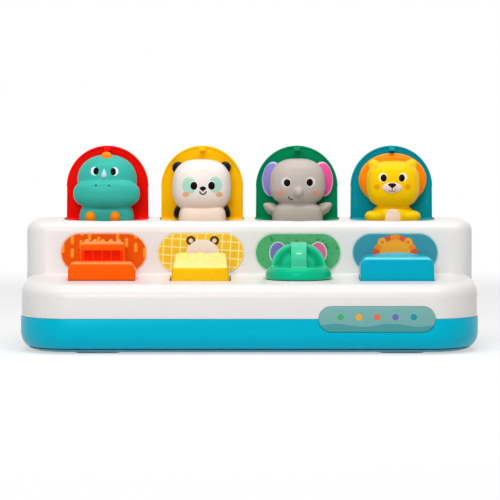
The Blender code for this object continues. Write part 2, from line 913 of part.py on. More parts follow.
# Green knob
knob_x = columns[2]
knob_radius = 0.024
knob_setback = 0.002
knob_y = riser_y - knob_setback - knob_radius
knob_seat_rise = 0.0015
knob_seat = deck_height + knob_seat_rise
knob_lift = 0.0004
knob_foot = knob_seat + knob_lift
knob_height = 0.0093
knob_top = knob_seat + knob_height
fin_half = 0.0195
fin_height = 0.0164
fin_thickness = 0.0075
dome_half = 0.0138
dome_depth = 0.013
dome_height = 0.0111
strap_half = 0.00565
strap_reach = 0.017
strap_height = 0.0174
spindle_radius = 0.006
platform_radius = 0.0255
ring_in = 0.008
ring_out = 0.013
ring_gap = 0.0009
ring_start = 8
cam_rise = 0.0028
knob_swing = 60
ramp_lead = 22
ramp_dwell = 18
ramp_back = 10

rim_shares = ((0.97, 0.0), (1.0, 0.18), (0.99, 0.45), (0.93, 0.78), (0.83, 1.0))
knob_profile = [
    (share * knob_radius, knob_foot + rise * (knob_top - knob_foot)) for share, rise in rim_shares
]
knob = piece(
    "turn_knob", turned(knob_profile, (knob_x, knob_y, 0), steps=28), key_plastics[2],
    (knob_x, knob_y, knob_seat),
)
fin = [
    (knob_x + fin_half * u, knob_top - merge_depth + (fin_height + merge_depth) * v)
    for u, v in arc(0, 0, 1, 0, 180, 14)
]
join(knob, prism(fin, "Y", knob_y - fin_thickness / 2, knob_y + fin_thickness / 2))
join(knob, ball((knob_x, knob_y, knob_top), (dome_half, dome_depth, dome_height), 8, 16))
cut(knob, rod((knob_x, knob_y, 0), knob_radius, knob_foot - dome_height, knob_foot))
strap_shares = (
    (-1, 0), (-0.97, 0.45), (-0.82, 0.8), (-0.45, 0.97), (0, 1), (0.45, 0.97), (0.82, 0.8),
    (0.97, 0.45), (1, 0),
)
strap = [
    (knob_y + u * strap_reach, knob_top - merge_depth + v * (strap_height + merge_depth))
    for u, v in strap_shares
]
join(knob, prism(strap, "X", knob_x - strap_half, knob_x + strap_half))
ring_top = knob_seat - shell_wall - ring_gap
join(knob, rod((knob_x, knob_y, 0), spindle_radius, ring_top + seat_gap, knob_foot + overrun, steps=16))
join(top_shell, rod(
    (knob_x, knob_y, 0), platform_radius, knob_seat - shell_wall, knob_seat, steps=32
))
cut(top_shell, rod(
    (knob_x, knob_y, 0), platform_radius, knob_seat, knob_seat + overrun, steps=32
))
cut(top_shell, rod(
    (knob_x, knob_y, 0), spindle_radius + key_gap, deck_height - shell_wall - overrun,
    knob_seat + overrun, steps=16,
))


def ring_under(angle):
    """Underside of the cam ring: a ramp that the turn brings over the lever."""
    past = (90 - ramp_lead - angle) % 360
    if past <= knob_swing:
        return foot_end - cam_rise * past / knob_swing
    if past <= knob_swing + ramp_dwell:
        return foot_end - cam_rise
    if past <= knob_swing + ramp_dwell + ramp_back:
        return foot_end - cam_rise * (1 - (past - knob_swing - ramp_dwell) / ramp_back)
    return foot_end


ring_corners = ((ring_in, False), (ring_out, False), (ring_out, True), (ring_in, True))
knob_cam_mesh = bmesh.new()
ring_steps = 36
ring_rows = []
for step in range(ring_steps):
    angle = ring_start + 360 * step / ring_steps
    turn = math.radians(angle)
    ring_rows.append([
        knob_cam_mesh.verts.new((
            knob_x + radius * math.cos(turn), knob_y + radius * math.sin(turn),
            ring_top if upper else ring_under(angle),
        ))
        for radius, upper in ring_corners
    ])
for i, row in enumerate(ring_rows):
    after = ring_rows[(i + 1) % ring_steps]
    for j in range(4):
        k = (j + 1) % 4
        knob_cam_mesh.faces.new((row[j], row[k], after[k], after[j]))
bmesh.ops.recalc_face_normals(knob_cam_mesh, faces=knob_cam_mesh.faces[:])
knob_cam = piece("knob_cam", knob_cam_mesh, inner_white, (knob_x, knob_y, knob_seat))
web_thickness = 0.0018
join(knob_cam, rod(
    (knob_x, knob_y, 0), ring_in + contact_half, ring_top - web_thickness, ring_top, steps=20
))
knob_screw_shank = 0.0014
knob_screw_head = 0.0028
knob_screw_length = 0.010
knob_screw_head_height = 0.0016
screw_seat = ring_top - web_thickness - seat_gap
cut(knob_cam, rod(
    (knob_x, knob_y, 0), knob_screw_shank + seat_gap, ring_top - web_thickness - overrun,
    ring_top + overrun, steps=10,
))
cut(knob, rod(
    (knob_x, knob_y, 0), knob_screw_shank + seat_gap, ring_top - overrun,
    screw_seat + knob_screw_length + seat_gap, steps=10,
))
piece(
    "knob_screw",
    turned(
        [
            (knob_screw_head, screw_seat - knob_screw_head_height), (knob_screw_head, screw_seat),
            (knob_screw_shank, screw_seat), (knob_screw_shank, screw_seat + knob_screw_length),
        ],
        (knob_x, knob_y, 0), steps=10,
    ),
    steel,
    (knob_x, knob_y, knob_seat),
)

# Blue rocker
rocker_x = columns[3]
rocker_spacing = 0.0178
rocker_height = 0.0183
rocker_half = (column_pitch - rocker_spacing) / 2
rocker_top = deck_height + rocker_height
rocker_corner = 0.005
rocker_edge = 0.002
rocker_back_reach = 0.0025
rocker_back = key_back + rocker_back_reach
rocker_pivot_inset = 0.002
rocker_pivot_y = rocker_back - rocker_pivot_inset
rocker_pivot_z = key_skirt
rocker_front_gap = 0.0015
rocker_lean = 0.0012
crest_half = 0.014
crest_depth = 0.009
crest_height = 0.0042
crest_inset = 0.011
crest_y = rocker_back - crest_inset
lug_near = 0.0012
lug_thickness = 0.003
lug_half = 0.0035
lug_drop = 0.0028

rocker = piece(
    "rocker_key",
    prism(
        shifted(rounded_top(rocker_half, key_skirt, rocker_top, rocker_corner), rocker_x), "Y",
        key_front, rocker_back,
    ),
    key_plastics[3],
    (rocker_x, rocker_pivot_y, rocker_pivot_z),
)
for vertex in rocker.data.vertices:
    if vertex.co.z > (rocker_top - rocker_pivot_z) / 2 and vertex.co.y < 0:
        vertex.co.y += rocker_lean
break_edges(rocker, rocker_edge)
join(rocker, ball(
    (rocker_x, crest_y, rocker_top - crest_height / 4),
    (crest_half, crest_depth, crest_height), 8, 16,
))
cut(rocker, prism(
    shifted(
        rounded_top(
            rocker_half - key_wall, key_skirt - overrun, rocker_top - key_wall, rocker_corner / 2
        ),
        rocker_x,
    ),
    "Y", key_front + key_wall + rocker_lean, rocker_back - key_wall,
))
join(rocker, block(
    rocker_x - lever_width / 2, rocker_x + lever_width / 2, contact_y - contact_half,
    contact_y + contact_half, foot_end, rocker_top - key_wall / 2,
))
ear_radius = 0.0028
for side in (-1, 1):
    ear_outer = side * (rocker_half - merge_depth / 2)
    ear_inner = side * (rocker_half - key_wall - merge_depth)
    join(rocker, rod(
        (rocker_x, rocker_pivot_y, rocker_pivot_z), ear_radius,
        min(ear_outer, ear_inner), max(ear_outer, ear_inner), "X", 12,
    ))
cut(rocker, rod(
    (rocker_x, rocker_pivot_y, rocker_pivot_z), pin_radius + pin_clearance,
    -rocker_half - overrun, rocker_half + overrun, "X", 10,
))
cut(top_shell, block(
    rocker_x - rocker_half - key_gap, rocker_x + rocker_half + key_gap,
    key_front - rocker_front_gap, rocker_back + key_gap,
    deck_height - shell_wall - overrun, deck_height + deck_rise + overrun,
))
for side in (-1, 1):
    near = rocker_half + lug_near
    far = near + lug_thickness
    join(top_shell, block(
        rocker_x + min(side * near, side * far), rocker_x + max(side * near, side * far),
        rocker_pivot_y - lug_half, rocker_pivot_y + lug_half,
        rocker_pivot_z - lug_drop, deck_height + deck_rise / 2,
    ))
cut(top_shell, rod(
    (rocker_x, rocker_pivot_y, rocker_pivot_z), pin_radius + pin_clearance,
    -rocker_half - lug_near - lug_thickness - overrun,
    rocker_half + lug_near + lug_thickness + overrun, "X", 10,
))
rocker_pin_reach = rocker_half + lug_near + lug_thickness
piece(
    "rocker_pin",
    rod(
        (rocker_x, rocker_pivot_y, rocker_pivot_z), pin_radius, -rocker_pin_reach,
        rocker_pin_reach, "X", 10,
    ),
    steel,
    (rocker_x, rocker_pivot_y, rocker_pivot_z),
)

# Animals, each a round half-figure fixed to its lid. Places and radii are shares of the room that
# the lid and its well leave: across, forward from the lid's inner face, and up from the hinge axis.
figure_side_gap = 0.0057
figure_floor_gap = 0.0043
figure_crown_gap = 0.0076
lid_inner_height = hinge_z + lid_offset - lid_plate
figure_wide = 2 * (lid_half_width - figure_side_gap)
figure_deep = 2 * (lid_inner_height - well_floor - figure_floor_gap)
figure_tall = lid_reach - figure_crown_gap
figure_base = 0.002
figure_clear = 0.0045
small_share = 0.25
soft_power = 2.5
square_power = 3
animal_names = ("dinosaur", "panda", "elephant", "lion")
dinosaur_shares = (
    ((-0.004, 0.17, 0.62), (0.448, 0.28, 0.39)),
    ((-0.002, 0.315, 0.475), (0.49, 0.20, 0.20), soft_power),
    ((-0.006, 0.208, 0.0), (0.414, 0.24, 0.36), soft_power),
    ((-0.24, 0.41, 0.12), (0.084, 0.09, 0.106)),
    ((0.128, 0.41, 0.11), (0.084, 0.09, 0.106)),
    ((-0.006, 0.148, 0.98), (0.086, 0.072, 0.075)),
    ((-0.05, 0.405, 0.77), (0.052, 0.07, 0.072)),
)
panda_shares = (
    ((-0.006, 0.188, 0.572), (0.438, 0.30, 0.382), square_power),
    ((-0.352, 0.128, 0.856), (0.108, 0.072, 0.108)),
    ((0.344, 0.128, 0.856), (0.108, 0.072, 0.108)),
    ((0.006, 0.188, 0.0), (0.364, 0.25, 0.30), square_power),
    ((-0.36, 0.19, 0.17), (0.072, 0.10, 0.11)),
    ((0.37, 0.19, 0.17), (0.072, 0.10, 0.11)),
)
elephant_shares = (
    ((0.008, 0.188, 0.614), (0.42, 0.29, 0.352), square_power),
    ((-0.352, 0.10, 0.66), (0.168, 0.068, 0.264)),
    ((0.372, 0.10, 0.66), (0.168, 0.068, 0.264)),
    ((0.03, 0.44, 0.45), (0.066, 0.076, 0.10)),
    ((0.01, 0.188, 0.0), (0.38, 0.25, 0.31), square_power),
    ((-0.37, 0.19, 0.24), (0.118, 0.09, 0.11)),
    ((0.39, 0.19, 0.24), (0.118, 0.09, 0.11)),
)
lion_shares = (
    ((0.016, 0.108, 0.65), (0.506, 0.13, 0.40)),
    ((0.014, 0.208, 0.594), (0.402, 0.28, 0.332), square_power),
    ((-0.274, 0.148, 0.864), (0.092, 0.072, 0.092)),
    ((0.304, 0.148, 0.864), (0.092, 0.072, 0.092)),
    ((0.016, 0.45, 0.53), (0.154, 0.066, 0.088)),
    ((0.016, 0.188, 0.0), (0.36, 0.24, 0.32), soft_power),
    ((-0.23, 0.35, 0.15), (0.148, 0.14, 0.10)),
    ((0.266, 0.35, 0.15), (0.148, 0.14, 0.10)),
)


def scaled(shares):
    """Shares (across, forward, up) as lengths."""
    return [share * room for share, room in zip(shares, (figure_wide, figure_deep, figure_tall))]


def animal(number, x, shares, colour):
    """Rounded forms grown together, flat at the back, clear of the hinge below."""
    inner = hinge_y + lid_offset - lid_plate
    forms = []
    for centre_shares, radius_shares, *powers in shares:
        across, forward, up = scaled(centre_shares)
        rings, steps = (6, 8) if max(radius_shares) < small_share else (8, 14)
        centre = (x + across, inner - forward, hinge_z + up)
        forms.append(ball(centre, scaled(radius_shares), rings, steps, *powers))
    head, *others = forms
    origin = (x, hinge_y, hinge_z)
    made = piece(f"{animal_names[number - 1]}_figure", head, colour, origin)
    for form in others:
        join(made, form)
    wide = lid_half_width
    cut(made, block(
        x - wide, x + wide, inner - seat_gap, inner + figure_tall, hinge_z - figure_tall,
        hinge_z + 2 * figure_tall,
    ))
    cut(made, block(
        x - wide, x + wide, hinge_y - lid_offset - seat_gap, inner + figure_tall,
        hinge_z - figure_tall, hinge_z + figure_clear,
    ))
    cut(made, block(
        x - wide, x + wide, hinge_y - figure_tall, inner + figure_tall, hinge_z - figure_tall,
        hinge_z - figure_base,
    ))


animal_plastics = [plastic(f"animal_{i}", c, 0.4) for i, c in enumerate(animal_colours, 1)]
animal_tables = (dinosaur_shares, panda_shares, elephant_shares, lion_shares)
for number, x in enumerate(columns, 1):
    animal(number, x, animal_tables[number - 1], animal_plastics[number - 1])
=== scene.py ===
"""Looks of the pop up animal toy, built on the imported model. Metres, +Z up, buttons towards -Y."""

import math

import bmesh
import bpy
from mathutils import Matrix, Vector


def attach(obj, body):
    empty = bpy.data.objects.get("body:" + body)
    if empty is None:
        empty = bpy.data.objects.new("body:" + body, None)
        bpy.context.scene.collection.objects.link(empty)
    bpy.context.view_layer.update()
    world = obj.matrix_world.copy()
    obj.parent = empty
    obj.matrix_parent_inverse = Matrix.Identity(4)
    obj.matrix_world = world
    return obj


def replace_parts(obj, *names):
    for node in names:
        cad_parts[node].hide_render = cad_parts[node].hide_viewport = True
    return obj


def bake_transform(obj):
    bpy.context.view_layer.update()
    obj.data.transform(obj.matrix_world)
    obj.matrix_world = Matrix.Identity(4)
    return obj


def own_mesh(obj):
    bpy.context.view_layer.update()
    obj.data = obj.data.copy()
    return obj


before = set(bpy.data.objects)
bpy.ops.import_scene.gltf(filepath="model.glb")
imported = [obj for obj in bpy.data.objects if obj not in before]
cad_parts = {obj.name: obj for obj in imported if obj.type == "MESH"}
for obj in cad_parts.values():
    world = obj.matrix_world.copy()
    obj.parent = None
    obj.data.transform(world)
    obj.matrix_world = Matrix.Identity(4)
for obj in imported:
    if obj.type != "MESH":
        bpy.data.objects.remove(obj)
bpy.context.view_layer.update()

# The stage: soft light from above and in front, a world that is white where it is seen, and the
# camera where the photograph was taken from: far off, square on, a little above the open lids.
camera_place = (0.0004, -2.341, 0.2039)
camera_tilt = 0.05685
camera_lens = 230.7
sensor_width = 36
world_light = 0.24
full_white = (1, 1, 1, 1)


def placed(name, data, place, turn):
    """Puts a camera or a lamp in the scene."""
    made = bpy.data.objects.new(name, data)
    made.location = place
    made.rotation_euler = turn
    bpy.context.scene.collection.objects.link(made)
    return made


def lamp(name, place, target, width, depth, power):
    """A soft lamp that faces its target."""
    data = bpy.data.lights.new(name, "AREA")
    data.shape = "RECTANGLE"
    data.size = width
    data.size_y = depth
    data.energy = power
    facing = Vector(target) - Vector(place)
    placed(name, data, place, facing.to_track_quat("-Z", "Y").to_euler())


def worked(operation, turned=False):
    """An operator that adds a Math node, its two values the other way round when turned."""
    def method(self, other=0.0):
        pair = (other, self) if turned else (self, other)
        return self.home.node(
            "ShaderNodeMath", {"operation": operation}, dict(enumerate(pair))
        )
    return method


class Value:
    """A shader value that Python's operators work on."""

    def __init__(self, home, socket):
        self.home = home
        self.socket = socket

    def held(self):
        """The value held between 0 and 1."""
        return self.least(1).most(0)

    __add__ = __radd__ = worked("ADD")
    __sub__ = worked("SUBTRACT")
    __rsub__ = worked("SUBTRACT", True)
    __mul__ = __rmul__ = worked("MULTIPLY")
    __truediv__ = worked("DIVIDE")
    __rtruediv__ = worked("DIVIDE", True)
    __pow__ = worked("POWER")
    __rpow__ = worked("POWER", True)
    __mod__ = worked("FLOORED_MODULO")
    __rmod__ = worked("FLOORED_MODULO", True)
    __gt__ = worked("GREATER_THAN")
    __lt__ = worked("LESS_THAN")
    __abs__ = worked("ABSOLUTE")
    least = worked("MINIMUM")
    most = worked("MAXIMUM")
    wave = worked("SINE")
    floor = worked("FLOOR")


class Nodes:
    """A node tree, of the world or of a material, that is filled by one method."""

    def __init__(self, tree):
        self.tree = tree

    def node(self, kind, settings, values, output=0):
        """Adds a node, sets it up, feeds its sockets with values or links, and gives one output."""
        made = self.tree.nodes.new(kind)
        for key, setting in settings.items():
            setattr(made, key, setting)
        for key, value in values.items():
            if isinstance(value, Value):
                self.tree.links.new(value.socket, made.inputs[key])
            else:
                made.inputs[key].default_value = value
        return Value(self, made.outputs[output]) if made.outputs else made

    def seen_ray(self):
        """1 where the camera looks, also by way of gloss or glass, and 0 for light on its way."""
        camera_ray, glossy_ray, clear_ray = (
            self.node("ShaderNodeLightPath", {}, {}, f"Is {kind} Ray")
            for kind in ("Camera", "Glossy", "Transmission")
        )
        return camera_ray.most(glossy_ray).most(clear_ray)


camera_data = bpy.data.cameras.new("camera")
camera_data.lens = camera_lens
camera_data.sensor_width = sensor_width
camera_turn = (math.pi / 2 - camera_tilt, 0, 0)
bpy.context.scene.camera = placed("camera", camera_data, camera_place, camera_turn)
bpy.context.scene.view_settings.view_transform = "Standard"
lamp("strip_lamp", (-0.10, -0.60, 1.15), (-0.10, 0, 0.06), 1.4, 0.12, 8.0)
lamp("top_lamp", (0.10, -0.05, 1.30), (0, 0, 0.05), 1.1, 1.1, 7.0)
lamp("front_lamp", (-0.45, -2.60, 1.00), (0, 0, 0.07), 1.0, 1.0, 22.0)

world = bpy.data.worlds.new("studio")
bpy.context.scene.world = world
world.use_nodes = True
world.node_tree.nodes.clear()
sky = Nodes(world.node_tree)
lit, seen = (
    sky.node("ShaderNodeBackground", {}, {"Color": full_white, "Strength": strength})
    for strength in (world_light, 1.0)
)
shown = sky.node("ShaderNodeMixShader", {}, {0: sky.seen_ray(), 1: lit, 2: seen})
sky.node("ShaderNodeOutputWorld", {}, {"Surface": shown})


# The top shell: one white ABS moulding, a low step with a gently falling deck in front and a tall
# step behind it. It has round corners, a leaning riser, four arched openings and button slots.
def deselect():
    """Leaves edit mode and drops the selection, on which the next operator would act too."""
    if bpy.context.mode != "OBJECT":
        bpy.ops.object.mode_set(mode="OBJECT")
    bpy.ops.object.select_all(action="DESELECT")


def take(piece):
    """Makes a piece the only selected and the active object."""
    deselect()
    piece.select_set(True)
    bpy.context.view_layer.objects.active = piece
    return piece


def settled(piece, **change):
    """Changes a piece's location, rotation_euler or scale, and works these into its mesh."""
    for key, value in change.items():
        setattr(piece, key, value)
    take(piece)
    bpy.ops.object.transform_apply(location=True, rotation=True, scale=True)
    return piece


def pick(piece, kind, test):
    """Opens a piece in edit mode, with only those parts of a kind selected that pass the test."""
    take(piece)
    bpy.ops.object.mode_set(mode="EDIT")
    bpy.ops.mesh.select_mode(type=kind)
    bpy.ops.mesh.select_all(action="DESELECT")
    shape = bmesh.from_edit_mesh(piece.data)
    items = {"FACE": shape.faces, "EDGE": shape.edges, "VERT": shape.verts}[kind]
    for item in items:
        if test(item):
            item.select_set(True)
    shape.select_flush_mode()
    bmesh.update_edit_mesh(piece.data)


def both(test):
    """A test on an edge, or a face, that all its points pass the test on a place."""
    return lambda item: all(test(vert.co) for vert in item.verts)


def every(_place):
    return True


def outward(piece):
    """Turns the faces of a closed piece outwards."""
    pick(piece, "FACE", every)
    bpy.ops.mesh.normals_make_consistent(inside=False)
    if bmesh.from_edit_mesh(piece.data).calc_volume(signed=True) < 0:
        bpy.ops.mesh.flip_normals()
    return take(piece)


weld = 0.00001


def slab(low, high, through="Z", corners=(), steps=16):
    """A rectangle, its corners rounded by rows of test and radius, pushed through along an axis."""
    turns = {"Z": (0, 0, 0), "Y": (math.pi / 2, 0, 0), "X": (math.pi / 2, 0, math.pi / 2)}
    low, high = Vector(low), Vector(high)
    size = high - low
    across = {"Z": (size.x, size.y), "Y": (size.x, size.z), "X": (size.y, size.z)}[through]
    start = (low + high) / 2
    start["XYZ".index(through)] = low["XYZ".index(through)]
    deselect()
    bpy.ops.mesh.primitive_plane_add(size=1, location=start, rotation=turns[through])
    made = settled(bpy.context.object, scale=(*across, 1))
    for test, radius in corners:
        pick(made, "VERT", lambda vert: test(vert.co))
        bpy.ops.mesh.bevel(
            offset=radius, segments=steps, affect="VERTICES", clamp_overlap=False
        )
        bpy.ops.mesh.select_all(action="SELECT")
        bpy.ops.mesh.remove_doubles(threshold=weld)
    push = Vector((0, 0, 0))
    push["XYZ".index(through)] = size["XYZ".index(through)]
    pick(made, "FACE", every)
    bpy.ops.mesh.extrude_region_move(TRANSFORM_OT_translate={"value": push})
    return outward(made)


def round_over(piece, test, radius, steps=4):
    """Rounds the edges whose two ends pass the test on a place."""
    pick(piece, "EDGE", both(test))
    bpy.ops.mesh.bevel(offset=radius, segments=steps, affect="EDGES", clamp_overlap=False)
    return outward(piece)


def near(value, wanted, within=0.00005):
    return abs(value - wanted) < within


def carve(piece, tool, operation="DIFFERENCE"):
    """Cuts a tool out of a piece, or joins it on, and throws the tool away."""
    change = piece.modifiers.new("carve", "BOOLEAN")
    change.operation = operation
    change.object = tool
    take(piece)
    bpy.ops.object.modifier_apply(modifier=change.name)
    bpy.data.objects.remove(tool, do_unlink=True)
    return piece


def drum(centre, radius, start, end, axis="Z", steps=32):
    """A round bar from start to end along an axis, its other two places those of the centre."""
    turns = {"Z": (0, 0, 0), "Y": (math.pi / 2, 0, 0), "X": (0, math.pi / 2, 0)}
    place = Vector(centre)
    place["XYZ".index(axis)] = (start + end) / 2
    deselect()
    bpy.ops.mesh.primitive_cylinder_add(
        vertices=steps, radius=radius, depth=end - start, location=place, rotation=turns[axis]
    )
    return settled(bpy.context.object)


def ball(centre, radii, segments, rings):
    """A ball stretched to its radii along X, Y and Z."""
    deselect()
    bpy.ops.mesh.primitive_uv_sphere_add(
        segments=segments, ring_count=rings, radius=1, location=centre
    )
    return settled(bpy.context.object, scale=radii)


def smooth(piece, angle=35):
    take(piece)
    bpy.ops.object.shade_smooth_by_angle(angle=math.radians(angle))
    return piece


class Paint(Nodes):
    """A material under construction, with the place on the piece as x, y and z in metres."""

    def __init__(self, name, centre=(0, 0, 0)):
        self.material = bpy.data.materials.new(name)
        self.material.use_nodes = True
        super().__init__(self.material.node_tree)
        self.shader = self.tree.nodes["Principled BSDF"]
        self.place = self.node("ShaderNodeMapping", {}, {
            "Vector": self.node("ShaderNodeTexCoord", {}, {}, "Object"),
            "Location": tuple(-part for part in centre),
        })
        split = self.node("ShaderNodeSeparateXYZ", {}, {0: self.place}).socket.node
        self.x, self.y, self.z = (Value(self, split.outputs[axis]) for axis in "XYZ")

    def mix(self, factor, first, second):
        """A colour between two others."""
        return self.node(
            "ShaderNodeMix", {"data_type": "RGBA", "clamp_factor": True},
            {0: factor, 6: first, 7: second}, 2,
        )

    def noise(self, scale, detail=2.0):
        return self.node(
            "ShaderNodeTexNoise", {}, {"Vector": self.place, "Scale": scale, "Detail": detail}
        )

    def blot(self, x, z, across, up, edge):
        """A mask that is 1 inside an ellipse seen from the front, its rim as soft as the edge."""
        reach = (((self.x - x) / across) ** 2 + ((self.z - z) / up) ** 2) ** 0.5
        return ((1 - reach) * (min(across, up) / edge)).held()

    def dabs(self, colour, rows):
        """Lays blots on a colour, by rows of code, strength, edge, radii and then each place."""
        for code, strength, edge, radii, *places in rows:
            for place in places:
                colour = self.mix(self.blot(*place, *radii, edge) * strength, colour, ink(code))
        return colour

    def arc(self, x, z, radius, width, edge):
        """A mask of the lower half of a ring, such as a smile."""
        reach = ((self.x - x) ** 2 + (self.z - z) ** 2) ** 0.5
        band = ((width / 2 - abs(reach - radius)) / edge + 0.5).held()
        return band * (self.z < z)

    def put(self, **sockets):
        """Feeds the shader: links and plain numbers, by the socket's name with _ for a space."""
        for name, value in sockets.items():
            socket = self.shader.inputs[name.replace("_", " ")]
            if isinstance(value, Value):
                self.tree.links.new(value.socket, socket)
            else:
                socket.default_value = value
        return self

    def on(self, piece):
        """Gives the finished material to a piece."""
        piece.data.materials.clear()
        piece.data.materials.append(self.material)


def ink(code, level=1.0):
    """A colour, from its sRGB code, as the linear values that sockets take."""
    parts = [int(code[i:i + 2], 16) / 255 for i in (1, 3, 5)]
    linear = [c / 12.92 if c <= 0.04045 else ((c + 0.055) / 1.055) ** 2.4 for c in parts]
    return (*[level * c for c in linear], 1)


drift_scale = 38.0
grain_scale = 1400.0
scuff_scale = 160.0
scuff_width = 0.1
skin_depth = 0.001
own_tint = 0.94


def moulded(name, code, gloss=0.3, skin=0.012, cloud=0.04, centre=(0, 0, 0), over=None):
    """Moulded plastic: a faint drift of tone, an uneven gloss and the fine skin of its mould.

    Its reflections take the plastic's own colour face on, and are white only at a glancing angle.
    """
    paint = Paint(name, centre)
    drift = paint.noise(drift_scale)
    colour = paint.mix(drift, ink(code, 1 - cloud), ink(code, 1 + cloud))
    if over:
        colour = over(paint, colour)
    grain = paint.noise(grain_scale, 3.0)
    bump = paint.node(
        "ShaderNodeBump", {}, {"Strength": skin, "Distance": skin_depth, "Height": grain}
    )
    scuff = paint.noise(scuff_scale, 4.0)
    return paint.put(
        Base_Color=colour, Roughness=gloss - scuff_width / 2 + scuff * scuff_width, Normal=bump,
        Specular_Tint=tuple(own_tint * part + 1 - own_tint for part in ink(code)),
    )


def dressed(piece, name, paint, slot, body, *nodes):
    """Names and paints a piece, hides the imported parts that it stands for, and sets it on its
    body. Its slot is not used.
    """
    piece.name = piece.data.name = name
    paint.on(piece)
    if nodes:
        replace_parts(piece, *nodes)
    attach(piece, body)
    return piece


body_width = 0.330
body_depth = 0.142
front_y = -body_depth / 2
back_y = body_depth / 2
seam_height = 0.0253
seat_gap = 0.0003
shell_foot = seam_height + seat_gap
step_in = 0.0007
deck_height = 0.050
deck_rise = 0.003
lower_fillet = 0.0095
deck_front = front_y + step_in + lower_fillet
riser_y = -0.007
riser_lean = math.radians(3.0)
top_height = 0.092
upper_step = 0.0011
upper_fillet = 0.0075
front_radius = 0.038
back_radius = 0.026
upper_radius = 0.015
shell_wall = 0.002
inner_fillet = 0.0032
overrun = 0.003
columns = (-0.10635, -0.03545, 0.03545, 0.10635)
hinge_y = 0.0586
hinge_z = 0.088
lid_half = 0.0307
lid_reach = 0.0576
lid_offset = 0.004
lid_gap = 0.0006
rim_round = 0.0005


def deck_z(y):
    return deck_height + deck_rise * (y - deck_front) / (riser_y - deck_front)


def riser_at(z):
    return riser_y + (z - deck_height - deck_rise) * math.tan(riser_lean)


def plan_corners(front, back):
    """The corners of a form seen from above, at its front and its back."""
    return [(lambda co: co.y < 0, front), (lambda co: co.y > back_radius, back)]


def stepped_form(inset, foot, low_round, high_round, steps):
    """The shell's outside, or its inside when inset by the wall."""
    edge = step_in + inset
    half = body_width / 2 - edge
    crest = deck_height - inset
    low = slab(
        (-half, front_y + edge, foot), (half, back_y - edge, crest), "Z",
        plan_corners(front_radius - edge, back_radius - edge), 2 * steps,
    )
    round_over(low, lambda co: near(co.z, crest), low_round, steps)
    for vert in low.data.vertices:
        if vert.co.z > foot + seat_gap:
            vert.co.z += deck_z(vert.co.y) - deck_height
    edge += upper_step
    half -= upper_step
    crest = top_height - inset
    base = riser_at(deck_height)
    high = slab(
        (-half, base + inset, foot + seat_gap), (half, back_y - edge, crest), "Z",
        plan_corners(upper_radius - inset, back_radius - edge), 2 * steps,
    )
    round_over(high, lambda co: near(co.z, crest), high_round, steps)
    for vert in high.data.vertices:
        share = (back_y - vert.co.y) / (back_y - base)
        vert.co.y += share * (riser_at(vert.co.z) - base)
    return carve(low, high, "UNION")


def opening(x, foot, crest, grow=0.0):
    """An arched hole for a lid, its round end to the front."""
    half = lid_half + lid_gap + grow
    crown = hinge_y - lid_reach - lid_gap - grow
    heel = hinge_y + lid_offset + lid_gap + grow
    return slab(
        (x - half, crown, foot), (x + half, heel, crest), "Z",
        [(lambda co: co.y < hinge_y / 2, half), (lambda co: co.y > hinge_y, lid_gap + grow)], 24,
    )


crease_round = 0.0014
crease_start = riser_y - 0.001
crease_end = riser_y + 0.006
shell = stepped_form(0, shell_foot, lower_fillet, upper_fillet, 8)
round_over(
    shell,
    lambda co: crease_start < co.y < crease_end and near(co.z, deck_z(co.y), 0.0004)
    and abs(co.x) < body_width / 2 - upper_radius,
    crease_round, 4,
)
carve(shell, stepped_form(shell_wall, shell_foot - overrun, inner_fillet, inner_fillet, 2))
for x in columns:
    carve(shell, opening(x, hinge_z - lid_offset, top_height + overrun))
round_over(
    shell,
    lambda co: near(co.z, top_height) and 0 < co.y < 0.064
    and min(abs(co.x - x) for x in columns) < lid_half + 2 * lid_gap,
    rim_round, 3,
)

# Slots in the deck for the slide's stem, the push key and the rocker, and the knob's round seat
key_front = -0.044
key_back = -0.0135
key_gap = 0.0005
slot_boxes = (
    (columns[0] - 0.0075, columns[0] + 0.0155, -0.0365, -0.0235),
    (columns[1] - 0.022, columns[1] + 0.022, key_front - key_gap, key_back + key_gap),
    (columns[3] - 0.02705, columns[3] + 0.02705, key_front - 0.0015, -0.0105),
)
for x0, x1, y0, y1 in slot_boxes:
    carve(shell, slab(
        (x0, y0, deck_height - shell_wall - overrun), (x1, y1, deck_height + 2 * overrun),
        "Z", [(every, rim_round)], 3,
    ))
knob_x = columns[2]
knob_y = -0.033
knob_seat = 0.0515
platform_radius = 0.0255
carve(shell, drum(
    (knob_x, knob_y, 0), platform_radius, knob_seat - shell_wall, knob_seat, steps=64
), "UNION")
carve(shell, drum(
    (knob_x, knob_y, 0), platform_radius, knob_seat, knob_seat + overrun, steps=64
))

panel_length = 0.0627
panel_height = 0.0285
panel_sunk = 0.0005
panel_proud = 0.0004
panel_middle = 0.06905
plate_length = 0.083
plate_height = 0.0182
plate_x = 0.0908
plate_thickness = 0.0014


def stadium(centre, length, height, start, end):
    """A bar with half-round ends, upright, from start to end along Y."""
    x, z = centre
    return slab(
        (x - length / 2, start, z - height / 2), (x + length / 2, end, z + height / 2), "Y",
        [(every, height / 2)], 20,
    )


def plate_form(grow, start):
    """The front plate, or its recess when grown and started further out."""
    return stadium(
        (plate_x, seam_height), plate_length + 2 * grow, plate_height + 2 * grow,
        start, front_y + plate_thickness + grow,
    )


def on_riser(x, grow, start, end):
    """A stadium lying on the leaning riser, from start to end behind its face."""
    made = stadium((0, 0), panel_length + 2 * grow, panel_height + 2 * grow, start, end)
    place = (x, riser_at(panel_middle), panel_middle)
    return settled(made, location=place, rotation_euler=(-riser_lean, 0, 0))


for x in columns:
    carve(shell, on_riser(x, seat_gap, -overrun, panel_sunk))
carve(shell, plate_form(seat_gap, front_y - overrun))
white_plastic = moulded("white_shell", "#E2DFDD", 0.3, 0.01, 0.012)
dressed(smooth(shell), "top_shell_moulding", white_plastic, "shell", "housing", "top_shell")

